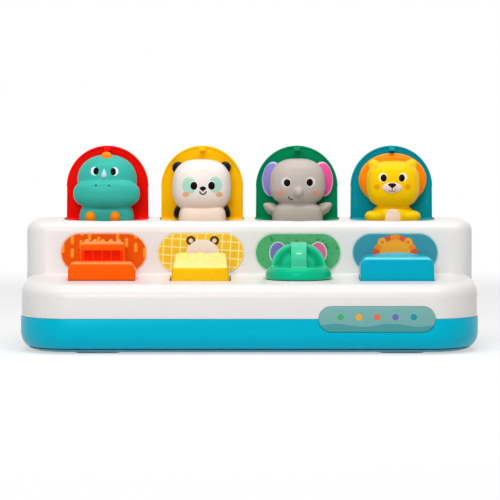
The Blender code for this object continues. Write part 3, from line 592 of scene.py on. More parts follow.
# The base tray: turquoise ABS, its bottom edge well rounded, screwed up into the shell from below.
# It carries four feet in shallow recesses, and a lip that the shell drops over.
foot_height = 0.0009
bottom_fillet = 0.013
lip_inset = 0.0032
lip_wall = 0.0016
lip_height = 0.003
tray_floor = 0.0022
screw_places = (
    (-0.150, -0.038), (0.150, -0.038), (-0.150, 0.044), (0.150, 0.044), (0, -0.030), (0, 0.006),
)
screw_recess = 0.0035
head_seat = 0.0075
foot_length = 0.032
foot_width = 0.010
foot_sunk = 0.001
foot_places = [(sx * 0.109, sy * 0.050) for sy in (-1, 1) for sx in (-1, 1)]


def plan_slab(inset, foot, crest, steps):
    """The tray's plan, inset and pushed up from foot to crest."""
    half = body_width / 2 - inset
    return slab(
        (-half, front_y + inset, foot), (half, back_y - inset, crest), "Z",
        plan_corners(front_radius - inset, back_radius - inset), steps,
    )


tray = plan_slab(0, foot_height, seam_height, 20)
round_over(tray, lambda co: near(co.z, foot_height), bottom_fillet, 10)
round_over(tray, lambda co: near(co.z, seam_height), 0.0004, 2)
carve(tray, plan_slab(lip_inset, seam_height - lip_height, seam_height + lip_height, 12), "UNION")
carve(tray, plan_slab(
    lip_inset + lip_wall, foot_height + tray_floor, seam_height + 2 * lip_height, 12
))
for x, y in screw_places:
    carve(tray, drum((x, y, 0), screw_recess, -overrun, head_seat, steps=24))
for x, y in foot_places:
    carve(tray, slab(
        (x - foot_length / 2 - seat_gap, y - foot_width / 2 - seat_gap, -overrun),
        (x + foot_length / 2 + seat_gap, y + foot_width / 2 + seat_gap, foot_height + foot_sunk),
        "Z", [(every, foot_width / 2 + seat_gap)], 10,
    ))
carve(tray, plate_form(seat_gap, front_y - overrun))
turquoise = moulded("turquoise_base", "#01ADC8", 0.32, 0.012, 0.03)
dressed(smooth(tray), "base_tray_moulding", turquoise, "base", "housing", "base_tray")
for number in range(1, 5):
    turquoise.on(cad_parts[f"foot_{number}"])

# The wells: four white tubs under the lids' openings, into which the animals fold. Each has a
# channel at its round end for the latch lever. They are moulded in the shell's plastic, unpolished.
well_wall = 0.0012
well_floor = 0.0605
well_top = top_height - shell_wall - seat_gap
channel_half = 0.007
channel_back = 0.0056
channel_top = 0.074
pin_hole = 0.0018


def copied(piece, shift):
    """A copy of a piece with a mesh of its own, moved by the shift."""
    take(piece)
    bpy.ops.object.duplicate()
    return settled(bpy.context.object, location=shift)


def barrel(x, radius, half, steps):
    """A bar along a lid's hinge."""
    return drum((x, hinge_y, hinge_z), radius, x - half, x + half, "X", steps)


def in_columns(piece):
    """The piece made for the first column and its copies for the others, numbered from 1."""
    return enumerate([piece] + [copied(piece, (x - columns[0], 0, 0)) for x in columns[1:]], 1)


inner_white = moulded("well_white", "#E9E6E3", 0.5, 0.03, 0.02)
x = columns[0]
well = opening(x, well_floor - well_wall, well_top, well_wall)
carve(well, opening(x, well_floor, well_top + overrun))
crown = hinge_y - lid_reach - lid_gap - well_wall
carve(well, slab(
    (x - channel_half - well_wall, crown + well_wall / 2, well_floor - well_wall),
    (x + channel_half + well_wall, channel_back + well_wall, channel_top),
), "UNION")
carve(well, slab(
    (x - channel_half, crown - overrun, well_floor - well_wall - overrun),
    (x + channel_half, channel_back, well_top + overrun),
))
carve(well, barrel(x, pin_hole, lid_half + overrun, 20))
for number, tub in in_columns(smooth(well)):
    dressed(tub, f"well_tub_{number}", inner_white, "inner", "housing", f"pop_up_well_{number}")

# The lids: glossy arched plates in red, amber, green and teal, with a thin rim round the edge, a
# hinge barrel along the bottom and a barbed tongue at the crown that the latch catches.
lid_codes = ("#FF1008", "#FFC006", "#008857", "#0592A4")
lid_plate = 0.0022
lid_rim = 0.0012
lid_rim_rise = 0.0006
lid_edge = 0.0005
knuckle_gap = 0.0006
recess_half = 0.007
recess_height = 0.0115
recess_skin = 0.0011
tongue_half = 0.0021
tongue_thickness = 0.0013
tongue_length = 0.008
tongue_inset = 0.0024
barb_depth = 0.0014
barb_height = 0.002
lid_inner = hinge_y + lid_offset - lid_plate
lid_bodies = ("dinosaur_lid", "panda_lid", "elephant_lid", "lion_lid")


def lid_arch(x, inset, start, end, foot):
    half = lid_half - inset
    crown = hinge_z + lid_reach - inset
    return slab(
        (x - half, start, foot), (x + half, end, crown), "Y",
        [(lambda co: co.z > hinge_z + half / 2, half)], 32,
    )


outer = hinge_y + lid_offset
rim_face = lid_inner - lid_rim_rise
lid = lid_arch(x, 0, rim_face, outer, hinge_z)
round_over(lid, lambda co: co.z > hinge_z + lid_edge and near(co.y, outer), 2 * lid_edge, 4)
round_over(lid, lambda co: co.z > hinge_z + lid_edge and near(co.y, rim_face), lid_edge, 3)
hollow = lid_arch(x, lid_rim, hinge_y - overrun, lid_inner, hinge_z - lid_offset)
round_over(hollow, lambda co: near(co.y, lid_inner), lid_edge, 3)
carve(lid, hollow)
carve(lid, barrel(x, lid_offset, lid_half - knuckle_gap, 40), "UNION")
crown = hinge_z + lid_reach - tongue_inset
carve(lid, slab(
    (x - tongue_half, hinge_y - tongue_length, crown - tongue_thickness),
    (x + tongue_half, lid_inner + lid_plate / 2, crown),
), "UNION")
barb = slab(
    (x - tongue_half, hinge_y - tongue_length, crown - tongue_thickness / 2),
    (x + tongue_half, hinge_y - tongue_length + barb_height, crown + barb_depth), "X",
)
for vert in barb.data.vertices:
    if vert.co.z > crown and vert.co.y < hinge_y - tongue_length + barb_height / 2:
        vert.co.y += barb_height / 2
carve(lid, barb, "UNION")
carve(lid, slab(
    (x - recess_half, hinge_y - lid_offset - overrun, hinge_z - lid_offset - overrun),
    (x + recess_half, outer - recess_skin, hinge_z + recess_height),
))
carve(lid, barrel(x, pin_hole, lid_half + overrun, 20))
for number, lid in in_columns(smooth(lid)):
    paint = moulded(f"lid_plastic_{number}", lid_codes[number - 1], 0.28, 0.01, 0.04)
    slot = node = f"lid_{number}"
    dressed(lid, f"lid_moulding_{number}", paint, slot, lid_bodies[number - 1], node)

# The animals' bodies: soft round half-figures, blown hollow in glossy vinyl, flat at the back,
# where two bosses hold each to its lid. Head, body and limbs run into each other without seams.
figure_grain = 0.00055
face_gap = 0.0003
figure_clear = 0.0045
figure_foot = 0.002


def blob(x, across, up, forward, radii, tilt=0.0, power=2.0, taper=0.0):
    """A ball, squarer with a higher power, stretched to its radii (across, up, forward).

    Its place is given from its lid's hinge and inner face. A taper narrows it towards the top.
    """
    wide, tall, deep = radii
    made = ball((0, 0, 0), (1, 1, 1), 64, 40)
    for vert in made.data.vertices:
        vert.co /= sum(abs(part) ** power for part in vert.co) ** (1 / power)
        vert.co.x *= 1 - taper * vert.co.z
    place = (x + across, lid_inner - forward, hinge_z + up)
    return settled(made, location=place, rotation_euler=(0, tilt, 0), scale=(wide, deep, tall))


def melt(shapes, grain=figure_grain, rounds=6):
    """Shapes grown into one skin, with the creases between them filled as in a mould."""
    deselect()
    for shape in shapes:
        shape.select_set(True)
    bpy.context.view_layer.objects.active = shapes[0]
    bpy.ops.object.join()
    made = bpy.context.object
    remesh = made.modifiers.new("skin", "REMESH")
    remesh.mode = "VOXEL"
    remesh.voxel_size = grain
    relax = made.modifiers.new("relax", "SMOOTH")
    relax.factor = 0.5
    relax.iterations = rounds
    for modifier in ("skin", "relax"):
        bpy.ops.object.modifier_apply(modifier=modifier)
    return made


def trim(piece, x):
    """Cuts a figure flat at the back and clear of the hinge barrel below."""
    wide = 0.036
    tall = 0.06
    back = lid_inner - face_gap
    carve(piece, slab(
        (x - wide, back, hinge_z - tall), (x + wide, back + tall, hinge_z + tall)
    ))
    carve(piece, slab(
        (x - wide, hinge_y - lid_offset - seat_gap, hinge_z - tall),
        (x + wide, back + tall, hinge_z + figure_clear),
    ))
    carve(piece, slab(
        (x - wide, hinge_y - tall, hinge_z - tall), (x + wide, back + tall, hinge_z - figure_foot),
    ))
    return piece


def on_lid(made, name, paint, *nodes):
    """Dresses a part of an animal, whose name starts with the animal's, and sets it on its lid."""
    animal = name.split("_")[0]
    return dressed(made, name, paint, animal, f"{animal}_lid", *nodes)


def figure(animal, x, forms, code, gloss, cloud, marks):
    """An animal's skin over its (across, up, forward, radii) forms, dressed and on its lid."""
    paint = moulded(f"{animal}_vinyl", code, gloss, 0.008, cloud, (x, 0, hinge_z), marks)
    skin = smooth(trim(melt([blob(x, *form) for form in forms]), x), 60)
    return on_lid(skin, f"{animal}_skin", paint, f"{animal}_figure")


def limb(name, x, form, paint):
    """A single form of another colour, such as an ear."""
    return on_lid(smooth(trim(blob(x, *form), x), 60), name, paint)


def bead(name, skin, x, place, radii, paint, sunk=0.0003, narrowing=(0, 0, 1)):
    """A small raised form, such as an eye, laid on a figure's skin and facing as the skin does.

    Its narrowing is by how much at mid-height, how much more at one end, and 1 for its top end or
    -1 for its foot.
    """
    at_x, at_z = x + place[0], hinge_z + place[1]
    _, spot, facing, _ = skin.ray_cast((at_x, front_y, at_z), (0, 1, 0))
    wide, tall, deep = radii
    made = ball((0, 0, 0), (wide, deep, tall), 32, 20)
    turn = facing.to_track_quat("Y", "Z").to_euler()
    settled(made, location=spot - facing * sunk, rotation_euler=turn)
    middle, more, end = narrowing
    for vert in made.data.vertices:
        share = end * (vert.co.z - at_z) / tall
        vert.co.x += (at_x - vert.co.x) * max(0, middle + more * share)
    take(made)
    bpy.ops.object.shade_smooth()
    return on_lid(made, name, paint)


eye_black = moulded("eye_black", "#120D0C", 0.12, 0.002, 0.02)
eye_depth = 0.0008
print_edge = 0.00025
fade = 0.010


def eyes(animal, skin, x, wide, tall, *places):
    """Two raised black eyes."""
    for side, place in enumerate(places):
        bead(f"{animal}_eye_{side}", skin, x, place, (wide, tall, eye_depth), eye_black)


def painted_light_below(paint, colour, top, strength, code):
    """A figure's lower part painted in another tone, fading in below the top: painted shade and the
    colour of light bounced onto it.
    """
    return paint.mix(((top - paint.z) / fade).held() * strength, colour, ink(code))


# The dinosaur: turquoise, with a broad snout across its face, a small pale horn between its eyes,
# an orange spine plate on its crown and orange paws. Its eyes are raised and its nostrils printed.
dino_x = columns[0]
dino_forms = (
    (0.0000, 0.0315, 0.0085, (0.0224, 0.0196, 0.0138), 0.0, 2.2),
    (-0.0001, 0.0222, 0.0158, (0.0248, 0.0119, 0.0100), 0.0, 2.5),
    (-0.0003, -0.0010, 0.0104, (0.0204, 0.0180, 0.0120), 0.0, 3.6),
)
spine_form = (-0.0002, 0.0492, 0.0122, (0.0044, 0.0042, 0.0040))
paw_radii = (0.0042, 0.0050, 0.0046)


def dino_marks(paint, colour):
    """Painted shade on the belly between the paws, white crescents outside the eyes, and nostrils.
    """
    return paint.dabs(colour, (
        # painted shade: the belly between the paws darkened as if the snout and paws shade it
        ("#2F8C80", 0.6, 0.0040, (0.0160, 0.0085), (-0.0003, 0.0060)),
        ("#DDF6F2", 1, print_edge, (0.0030, 0.0033), (-0.0088, 0.0391), (0.0061, 0.0389)),
        ("#0A4F50", 1, print_edge, (0.0009, 0.0009), (-0.0076, 0.0287), (0.0022, 0.0285)),
    ))


dino = figure("dinosaur", dino_x, dino_forms, "#3AB0A2", 0.3, 0.05, dino_marks)
eyes("dinosaur", dino, dino_x, 0.0022, 0.0029, (-0.0077, 0.0392), (0.0051, 0.0388))
orange_vinyl = moulded("orange_vinyl", "#F98A0C", 0.32, 0.008, 0.05)
limb("dinosaur_spine_plate", dino_x, spine_form, orange_vinyl)
for side, across in enumerate((-0.0119, 0.0064)):
    limb(f"dinosaur_paw_{side}", dino_x, (across, 0.0044, 0.0206, paw_radii), orange_vinyl)
bead(
    "dinosaur_horn", dino, dino_x, (-0.0017, 0.0375), (0.0027, 0.0034, 0.0022),
    moulded("horn_pale", "#CFE3F0", 0.35, 0.01, 0.03), narrowing=(0.35, 0.45, 1),
)

# The panda: white vinyl, with black ears and arms, mint patches round its raised black eyes, peach
# cheeks, and a small black nose over a printed smile.
panda_x = columns[1]
panda_forms = (
    (-0.0003, 0.0276, 0.0094, (0.0219, 0.0201, 0.0150), 0.0, 2.7, 0.02),
    (0.0003, -0.0010, 0.0094, (0.0178, 0.0160, 0.0125), 0.0, 4.0),
)
panda_limbs = (
    ("ear_left", (-0.0178, 0.0412, 0.0065, (0.0046, 0.0046, 0.0036))),
    ("ear_right", (0.0172, 0.0414, 0.0065, (0.0045, 0.0045, 0.0036))),
    ("arm_left", (-0.0178, 0.0090, 0.0095, (0.0032, 0.0056, 0.0048), 0.35)),
    ("arm_right", (0.0180, 0.0092, 0.0095, (0.0031, 0.0056, 0.0048), -0.35)),
)


def panda_marks(paint, colour):
    """A lower half painted warmer as bounced light, mint eye patches with white in them, cheeks, and
    the mouth.
    """
    # painted bounced light: the lower face and body warmed towards peach
    colour = painted_light_below(paint, colour, 0.0235, 0.65, "#FFE0C2")
    colour = paint.dabs(colour, (
        ("#A3D8C4", 0.92, 0.0009, (0.0057, 0.0069), (-0.0093, 0.0283)),
        ("#A3D8C4", 0.92, 0.0009, (0.0055, 0.0065), (0.0100, 0.0290)),
        ("#F6F3F0", 1, print_edge, (0.0030, 0.0035), (-0.0055, 0.0285), (0.0070, 0.0286)),
        ("#F0A068", 0.9, 0.0008, (0.0031, 0.0024), (-0.0118, 0.0219), (0.0130, 0.0219)),
    ))
    smile = paint.arc(0.0009, 0.0243, 0.0023, 0.0011, print_edge)
    stem = paint.blot(0.0009, 0.0245, 0.0005, 0.0014, print_edge)
    return paint.mix(smile.most(stem), colour, ink("#3A2418"))


panda = figure("panda", panda_x, panda_forms, "#EDE3DD", 0.34, 0.02, panda_marks)
panda_black = moulded("panda_black", "#1E1512", 0.34, 0.01, 0.05)
for name, form in panda_limbs:
    limb(f"panda_{name}", panda_x, form, panda_black)
eyes("panda", panda, panda_x, 0.0027, 0.0032, (-0.0058, 0.0283), (0.0073, 0.0284))
bead(
    "panda_nose", panda, panda_x, (0.0009, 0.0263), (0.0025, 0.0017, 0.0011), eye_black,
    narrowing=(0, 0.3, -1),
)

# The elephant: warm grey vinyl, with a lilac ear and a pink ear that are moulded apart, a short
# round trunk, a printed smile to its left and soft orange cheeks.
elephant_x = columns[2]
elephant_forms = (
    (0.0004, 0.0305, 0.0094, (0.0208, 0.0177, 0.0146), 0.0, 2.6, 0.05),
    (0.0005, -0.0010, 0.0094, (0.0190, 0.0166, 0.0125), 0.0, 4.0),
    (-0.0186, 0.0104, 0.0095, (0.0078, 0.0046, 0.0046), 0.55, 1.5),
    (0.0196, 0.0106, 0.0095, (0.0078, 0.0046, 0.0046), -0.55, 1.5),
    (0.0011, 0.0236, 0.0228, (0.0036, 0.0041, 0.0040)),
)
ear_rows = (
    ("left", -0.0185, "#8A80C8", "#B9BFE8", 0.10),
    ("right", 0.0195, "#E4559A", "#F4B4D2", -0.10),
)
ear_height = 0.0326
ear_forward = 0.0052
ear_radii = (0.0076, 0.0131, 0.0034)
ear_inside = (0.0070, 0.0124)


def elephant_marks(paint, colour):
    """Painted greenish shade on the lower half, pale rings beside the eyes, soft cheeks, and the
    smile.
    """
    # painted shade: the lower half darkened and tinted green as by light bounced from its lid
    colour = painted_light_below(paint, colour, 0.0200, 0.8, "#ABA697")
    colour = paint.dabs(colour, (
        ("#E6E0DE", 0.75, print_edge, (0.0037, 0.0039), (-0.0081, 0.0308), (0.0099, 0.0312)),
        ("#EE8A55", 0.75, 0.0026, (0.0037, 0.0031), (-0.0120, 0.0229), (0.0132, 0.0229)),
    ))
    smile = paint.arc(-0.0041, 0.0205, 0.0024, 0.0009, print_edge) * (paint.x < -0.0031)
    return paint.mix(smile, colour, ink("#26342A"))


elephant = figure(
    "elephant", elephant_x, elephant_forms, "#BCB2AA", 0.36, 0.03, elephant_marks
)
for name, across, code, rim_code, tilt in ear_rows:
    def ear_rim(paint, colour):
        """A pale rim round the printed inside of the ear."""
        return paint.mix(paint.blot(0, 0, *ear_inside, 0.0004), ink(rim_code), colour)

    ear_paint = moulded(
        f"ear_vinyl_{name}", code, 0.36, 0.008, 0.05,
        (elephant_x + across, 0, hinge_z + ear_height), ear_rim,
    )
    ear_form = (across, ear_height, ear_forward, ear_radii, tilt)
    limb(f"elephant_ear_{name}", elephant_x, ear_form, ear_paint)
eyes("elephant", elephant, elephant_x, 0.0026, 0.0029, (-0.0075, 0.0305), (0.0093, 0.0308))

# The lion: a yellow head in a broad orange mane that is moulded apart, with round ears, a pale
# raised muzzle under a black nose, orange cheeks, two fat paws and a pale chest between them.
lion_x = columns[3]
mane_form = (0.0007, 0.0323, 0.0050, (0.0254, 0.0199, 0.0062))
lion_forms = (
    (0.0007, 0.0290, 0.0100, (0.0201, 0.0176, 0.0142), 0.0, 2.8),
    (-0.0134, 0.0430, 0.0080, (0.0046, 0.0046, 0.0040)),
    (0.0144, 0.0432, 0.0080, (0.0046, 0.0046, 0.0040)),
    (0.0008, 0.0000, 0.0094, (0.0178, 0.0150, 0.0118), 0.0, 2.5),
    (-0.0128, 0.0052, 0.0168, (0.0078, 0.0046, 0.0068), 0.0, 2.4),
    (0.0134, 0.0052, 0.0168, (0.0078, 0.0046, 0.0068), 0.0, 2.4),
)


def lion_marks(paint, colour):
    """Pale rings beside the eyes, cheeks, the insides of the ears and the chest."""
    return paint.dabs(colour, (
        ("#FFE6B8", 1, print_edge, (0.0032, 0.0037), (-0.0074, 0.0345), (0.0077, 0.0347)),
        ("#F08A10", 0.85, 0.0012, (0.0027, 0.0026), (-0.0117, 0.0274), (0.0111, 0.0274)),
        ("#E8A010", 0.5, 0.0012, (0.0024, 0.0021), (-0.0130, 0.0427), (0.0138, 0.0430)),
        ("#EFD6C8", 1, print_edge, (0.0056, 0.0062), (0.0002, 0.0050)),
    ))


def mane_marks(paint, colour):
    """The mane is lighter along its edge."""
    middle = paint.blot(0.0007, 0.0323, 0.0249, 0.0194, 0.0005)
    return paint.mix(middle, ink("#FFA526"), colour)


def muzzle_marks(paint, colour):
    """The mouth under the nose, and the whisker dots."""
    marks = paint.blot(-0.0005, 0.0262, 0.0005, 0.0016, print_edge)
    for across in (-0.0017, 0.0007):
        marks = marks.most(paint.arc(across, 0.0255, 0.0012, 0.0005, print_edge))
    for across, up in ((-0.0045, 0.0275), (-0.0046, 0.0256), (-0.0030, 0.0264)):
        for turned in (across, -0.001 - across):
            marks = marks.most(paint.blot(turned, up, 0.0004, 0.0004, print_edge))
    return paint.mix(marks, colour, ink("#3A1E10"))


lion_centre = (lion_x, 0, hinge_z)
lion = figure("lion", lion_x, lion_forms, "#F7C805", 0.32, 0.04, lion_marks)
limb("lion_mane", lion_x, mane_form, moulded(
    "mane_vinyl", "#FF8506", 0.34, 0.008, 0.05, lion_centre, mane_marks
))
eyes("lion", lion, lion_x, 0.0024, 0.0028, (-0.0067, 0.0341), (0.0068, 0.0341))
muzzle = bead(
    "lion_muzzle", lion, lion_x, (-0.0004, 0.0268), (0.0074, 0.0041, 0.0024),
    moulded("muzzle_vinyl", "#F0D5CA", 0.34, 0.008, 0.03, lion_centre, muzzle_marks), 0.0006,
)
bead(
    "lion_nose", muzzle, lion_x, (-0.0005, 0.0286), (0.0036, 0.0019, 0.0011), eye_black, 0.0002,
    (0.25, 0.55, -1),
)

# The orange slide: a low front block with a taller finger rest behind it, ribbed on top and
# pocketed in front. It is moulded in one piece and slides to the right.
slide_x = columns[0]
slide_half = 0.02425
slide_top = 0.0642
rest_half = 0.0161
rest_top = 0.0778
rest_front = -0.027
slide_corner = 0.0062
rest_corner = 0.0035
slide_edge = 0.0012
pocket_half = 0.0028
pocket_low = 0.0650
pocket_high = 0.0718
pocket_depth = 0.0016
pocket_shares = (-0.62, -0.21, 0.21, 0.62)
ridge_radius = 0.0017
ridge_pitch = 0.0058
deck_clear = 0.0003
stem_half = 0.007
stem_front = -0.036
stem_back = -0.024
stem_foot = 0.0468
stem_sunk = 0.0055
glow_low = 0.0640
glow_high = 0.0732
glow_edge = 0.0004


def on_deck(piece):
    """Leans the underside of a button along the deck."""
    for vert in piece.data.vertices:
        if vert.co.z < deck_height + 2 * deck_clear:
            vert.co.z = deck_z(vert.co.y) + deck_clear
    return piece


slide = on_deck(slab(
    (slide_x - slide_half, key_front, deck_height),
    (slide_x + slide_half, rest_front + 2 * slide_edge, slide_top), "Y",
    [(lambda co: co.z > deck_height + slide_corner, slide_corner)], 8,
))
round_over(
    slide, lambda co: near(co.y, key_front) and co.z > deck_height + slide_edge, slide_edge, 4
)
rest = on_deck(slab(
    (slide_x - rest_half, rest_front, deck_height), (slide_x + rest_half, key_back, rest_top),
    "Y", [(lambda co: co.z > deck_height + rest_corner, rest_corner)], 8,
))
for end in (rest_front, key_back):
    round_over(rest, lambda co: co.z > slide_top and near(co.y, end), slide_edge, 4)
for share in pocket_shares:
    middle = slide_x + share * rest_half
    pocket = slab(
        (middle - pocket_half, rest_front - overrun, pocket_low),
        (middle + pocket_half, rest_front + pocket_depth, pocket_high),
        "Y", [(every, rim_round)], 3,
    )
    carve(rest, pocket)
for step in range(-2, 3):
    ridge = drum(
        (slide_x + step * ridge_pitch, 0, rest_top), ridge_radius,
        rest_front + ridge_radius, key_back - ridge_radius, "Y", 24,
    )
    for end in (rest_front + ridge_radius, key_back - ridge_radius):
        round_over(ridge, lambda co: near(co.y, end), ridge_radius / 2, 3)
    carve(rest, ridge, "UNION")
carve(slide, rest, "UNION")
carve(slide, slab(
    (slide_x - stem_half, stem_front, stem_foot),
    (slide_x + stem_half, stem_back, deck_height + stem_sunk),
), "UNION")


def painted_pocket_shade_and_sheen(paint, colour):
    """Painted shade makes the pocketed band of the rest a deeper red, and painted highlights make
    its top and the block's top front edge paler.
    """
    # painted shade over the pocketed band of the rest
    deep = ((glow_high - paint.z) / 0.002).held() * ((paint.z - glow_low) / glow_edge).held()
    behind = ((paint.y - rest_front + 0.0003) / glow_edge).held() * (paint.y < rest_front + 0.004)
    behind = behind * ((rest_half - 0.0008 - abs(paint.x - slide_x)) / glow_edge).held()
    colour = paint.mix(deep * behind, colour, ink("#E81A04"))
    # painted highlights along the top of the rest and the block's top front edge
    painted_top_sheen = ((paint.z - rest_top + 0.0022) / 0.0018).held()
    front = (1 - abs(paint.z - slide_top + 0.0006) / 0.0012).held() * (paint.y < rest_front)
    return paint.mix(painted_top_sheen.most(front * 0.9) * 0.55, colour, ink("#FFC070"))


slide_plastic = moulded("slide_plastic", "#F65C05", 0.26, 0.008, 0.04, over=painted_pocket_shade_and_sheen)
dressed(smooth(slide, 30), "slide_block", slide_plastic, "slide", "slide", "slide_button")

# The yellow push key: a wedge whose sloping pad carries rows of low raised dots, 3, 2 and 3.
# It goes straight down into its slot, guided by the slot's walls.
push_x = columns[1]
push_half = 0.0215
push_front_top = 0.0606
push_back_top = 0.0696
push_narrowing = 0.138
key_skirt = 0.0472
push_corner = 0.0026
push_edge = 0.0019
push_wall = 0.0022
push_rise = (push_back_top - push_front_top) / (key_back - key_front)
press_half = 0.003
press_front = -0.0353
press_back = -0.0329
press_low = 0.0443


def pad_z(y):
    return push_front_top + (y - key_front) * push_rise


def press_foot(x, top):
    """The foot under a key that presses its latch lever."""
    return slab((x - press_half, press_front, press_low), (x + press_half, press_back, top))


push = slab(
    (push_x - push_half, key_front, key_skirt), (push_x + push_half, key_back, push_back_top),
    "Z", [(every, push_corner)], 6,
)
for vert in push.data.vertices:
    if vert.co.z > deck_height:
        vert.co.z = pad_z(vert.co.y)
        above = vert.co.z - deck_height
        vert.co.x = push_x + (vert.co.x - push_x) * (1 - push_narrowing * above / push_half)
round_over(push, lambda co: co.z > deck_height, push_edge, 5)
hollow = slab(
    (push_x - push_half + push_wall, key_front + push_wall, key_skirt - overrun),
    (push_x + push_half - push_wall, key_back - push_wall, push_front_top - 2 * push_wall),
)
carve(push, hollow)
dot_radius = 0.0027
dot_rise = 0.0004
outer_dots = (-0.0123, 0.0, 0.0123)
inner_dots = (-0.0061, 0.0061)
dot_rows = ((-0.0325, outer_dots), (-0.0243, inner_dots), (-0.0168, outer_dots))
first_dot = drum((0, 0, 0), dot_radius, -dot_rise, dot_rise, steps=40)
round_over(first_dot, lambda co: near(co.z, dot_rise), dot_rise, 3)
settled(first_dot, rotation_euler=(math.atan(push_rise), 0, 0))
dots = []
for row_y, places in dot_rows:
    dots += [copied(first_dot, (push_x + across, row_y, pad_z(row_y))) for across in places]
bpy.data.objects.remove(first_dot, do_unlink=True)
carve(push, press_foot(push_x, push_front_top - push_wall), "UNION")


def pad_glow(paint, colour):
    """The pad is a lighter yellow than the sides."""
    pad = ((paint.z - pad_z(paint.y) + 0.0007) / 0.0005).held()
    return paint.mix(pad * 0.85, colour, ink("#FDEB96"))


push_plastic = moulded("push_plastic", "#EFB80D", 0.28, 0.008, 0.03, over=pad_glow)
dressed(smooth(push, 30), "push_wedge", push_plastic, "push", "push", "push_key")
deselect()
for dot in dots:
    dot.select_set(True)
bpy.context.view_layer.objects.active = dots[0]
bpy.ops.object.join()
dot_plastic = moulded("push_dot_plastic", "#F2EC78", 0.3, 0.006, 0.03)
dressed(smooth(bpy.context.object), "push_dots", dot_plastic, "push", "push")

# The green knob: a domed disc with an upright fin across it, a smaller dome before the fin and a
# strap over the middle, all one moulding. It turns on a spindle through the deck.
knob_radius = 0.024
knob_lift = 0.0004
knob_foot = knob_seat + knob_lift
knob_top = 0.0608
fin_half = 0.0195
fin_top = 0.0772
fin_thickness = 0.0075
dome_half = 0.0138
dome_depth = 0.013
dome_top = 0.0719
strap_half = 0.00565
strap_reach = 0.017
strap_top = 0.0782
strap_corner = 0.0125
spindle_radius = 0.006
spindle_foot = 0.0487
screw_hole = 0.0017
screw_start = 0.045
screw_end = 0.0568
knob_grain = 0.00042
knob_slope = 0.0040
knob_stretch = 1.75
fin_shade_reach = 0.0026

knob_disc = drum(
    (knob_x, knob_y, 0), knob_radius, knob_foot,
    knob_foot + (knob_top - knob_foot) / knob_stretch, steps=96,
)
round_over(knob_disc, lambda co: co.z > knob_foot + knob_lift, knob_slope, 10)
round_over(knob_disc, lambda co: near(co.z, knob_foot), 2 * knob_lift, 3)
for vert in knob_disc.data.vertices:
    vert.co.z = knob_foot + (vert.co.z - knob_foot) * knob_stretch
fin = slab(
    (knob_x - fin_half, knob_y - fin_thickness / 2, knob_top - overrun),
    (knob_x + fin_half, knob_y + fin_thickness / 2, fin_top), "Y",
    [(lambda co: co.z > knob_top, fin_top - knob_top)], 24,
)
dome_radii = (dome_half, dome_depth, dome_top - knob_top)
dome = ball((knob_x, knob_y, knob_top), dome_radii, 64, 32)
strap = slab(
    (knob_x - strap_half, knob_y - strap_reach, knob_top - overrun),
    (knob_x + strap_half, knob_y + strap_reach, strap_top), "X",
    [(lambda co: co.z > knob_top, strap_corner)], 16,
)
knob = carve(knob_disc, fin, "UNION")
carve(knob, dome, "UNION")
carve(knob, strap, "UNION")
carve(knob, drum((knob_x, knob_y, 0), knob_radius, knob_foot - 5 * overrun, knob_foot, steps=96))
knob = melt([knob], knob_grain, 3)
carve(knob, drum(
    (knob_x, knob_y, 0), spindle_radius, spindle_foot, knob_foot + overrun, steps=48
), "UNION")
carve(knob, drum((knob_x, knob_y, 0), screw_hole, screw_start, screw_end, steps=24))


def knob_painted_light(paint, colour):
    """A painted highlight on the strap's front slot, painted shade where the dome meets the fin, and
    painted highlights along the strap and the fin's rim.
    """
    # painted highlight: a pale spot on the strap's front
    painted_slot_highlight = paint.blot(knob_x, 0.0709, 0.0031, 0.0007, 0.0003) * (paint.y < knob_y)
    # painted shade in the corner between the dome and the fin
    across, up = dome_half + fin_shade_reach, dome_top - knob_top + fin_shade_reach
    painted_fin_shade = paint.blot(knob_x, knob_top, across, up, 0.0006)
    on_fin = (paint.y > knob_y - fin_thickness / 2 - 0.0008) * (paint.y < knob_y)
    colour = paint.mix(painted_fin_shade * on_fin * 0.5, colour, ink("#04865A"))
    # painted highlights along the strap and the fin's outer rim
    painted_strap_highlight = ((strap_half - abs(paint.x - knob_x)) / print_edge).held() * (paint.z > knob_top)
    across, up = (paint.x - knob_x) / fin_half, (paint.z - knob_top) / (fin_top - knob_top)
    crown = (across ** 2 + up ** 2) ** 0.5
    painted_rim_highlight = ((crown - 0.9) / 0.06).held() * (paint.z > knob_top)
    colour = paint.mix((painted_strap_highlight * 0.7).most(painted_rim_highlight) * 0.3, colour, ink("#8DE8C6"))
    return paint.mix(painted_slot_highlight * 0.7, colour, ink("#C4F7E2"))


knob_plastic = moulded("knob_plastic", "#08B384", 0.24, 0.006, 0.04, over=knob_painted_light)
dressed(smooth(knob, 40), "knob_moulding", knob_plastic, "knob", "knob", "turn_knob")

# The blue rocker: a rounded block that tips forward on a pin near its back edge, with a low crest
# on top for the finger.
rocker_x = columns[3]
rocker_half = 0.02655
rocker_top = 0.0683
rocker_back = -0.011
rocker_lean = 0.0012
rocker_corner = 0.0072
rocker_edge = 0.0022
crest_y = -0.022
crest_radii = (0.0180, 0.0095, 0.0032)
crest_sunk = 0.0012
crest_lines = 0.0024
line_share = 0.16
rocker_grain = 0.00048
rocker = slab(
    (rocker_x - rocker_half, key_front, key_skirt),
    (rocker_x + rocker_half, rocker_back, rocker_top), "Y",
    [(lambda co: co.z > deck_height, rocker_corner)], 10,
)
for vert in rocker.data.vertices:
    if near(vert.co.y, key_front) and vert.co.z > deck_height:
        vert.co.y += rocker_lean * (vert.co.z - deck_height) / (rocker_top - deck_height)
for end in (key_front, rocker_back):
    round_over(
        rocker, lambda co: co.z > key_skirt + rocker_edge and near(co.y, end, 2 * rocker_lean),
        rocker_edge, 6,
    )
crest = ball((rocker_x, crest_y, rocker_top - crest_sunk), crest_radii, 48, 24)
carve(rocker, crest, "UNION")
rocker = melt([rocker], rocker_grain, 3)
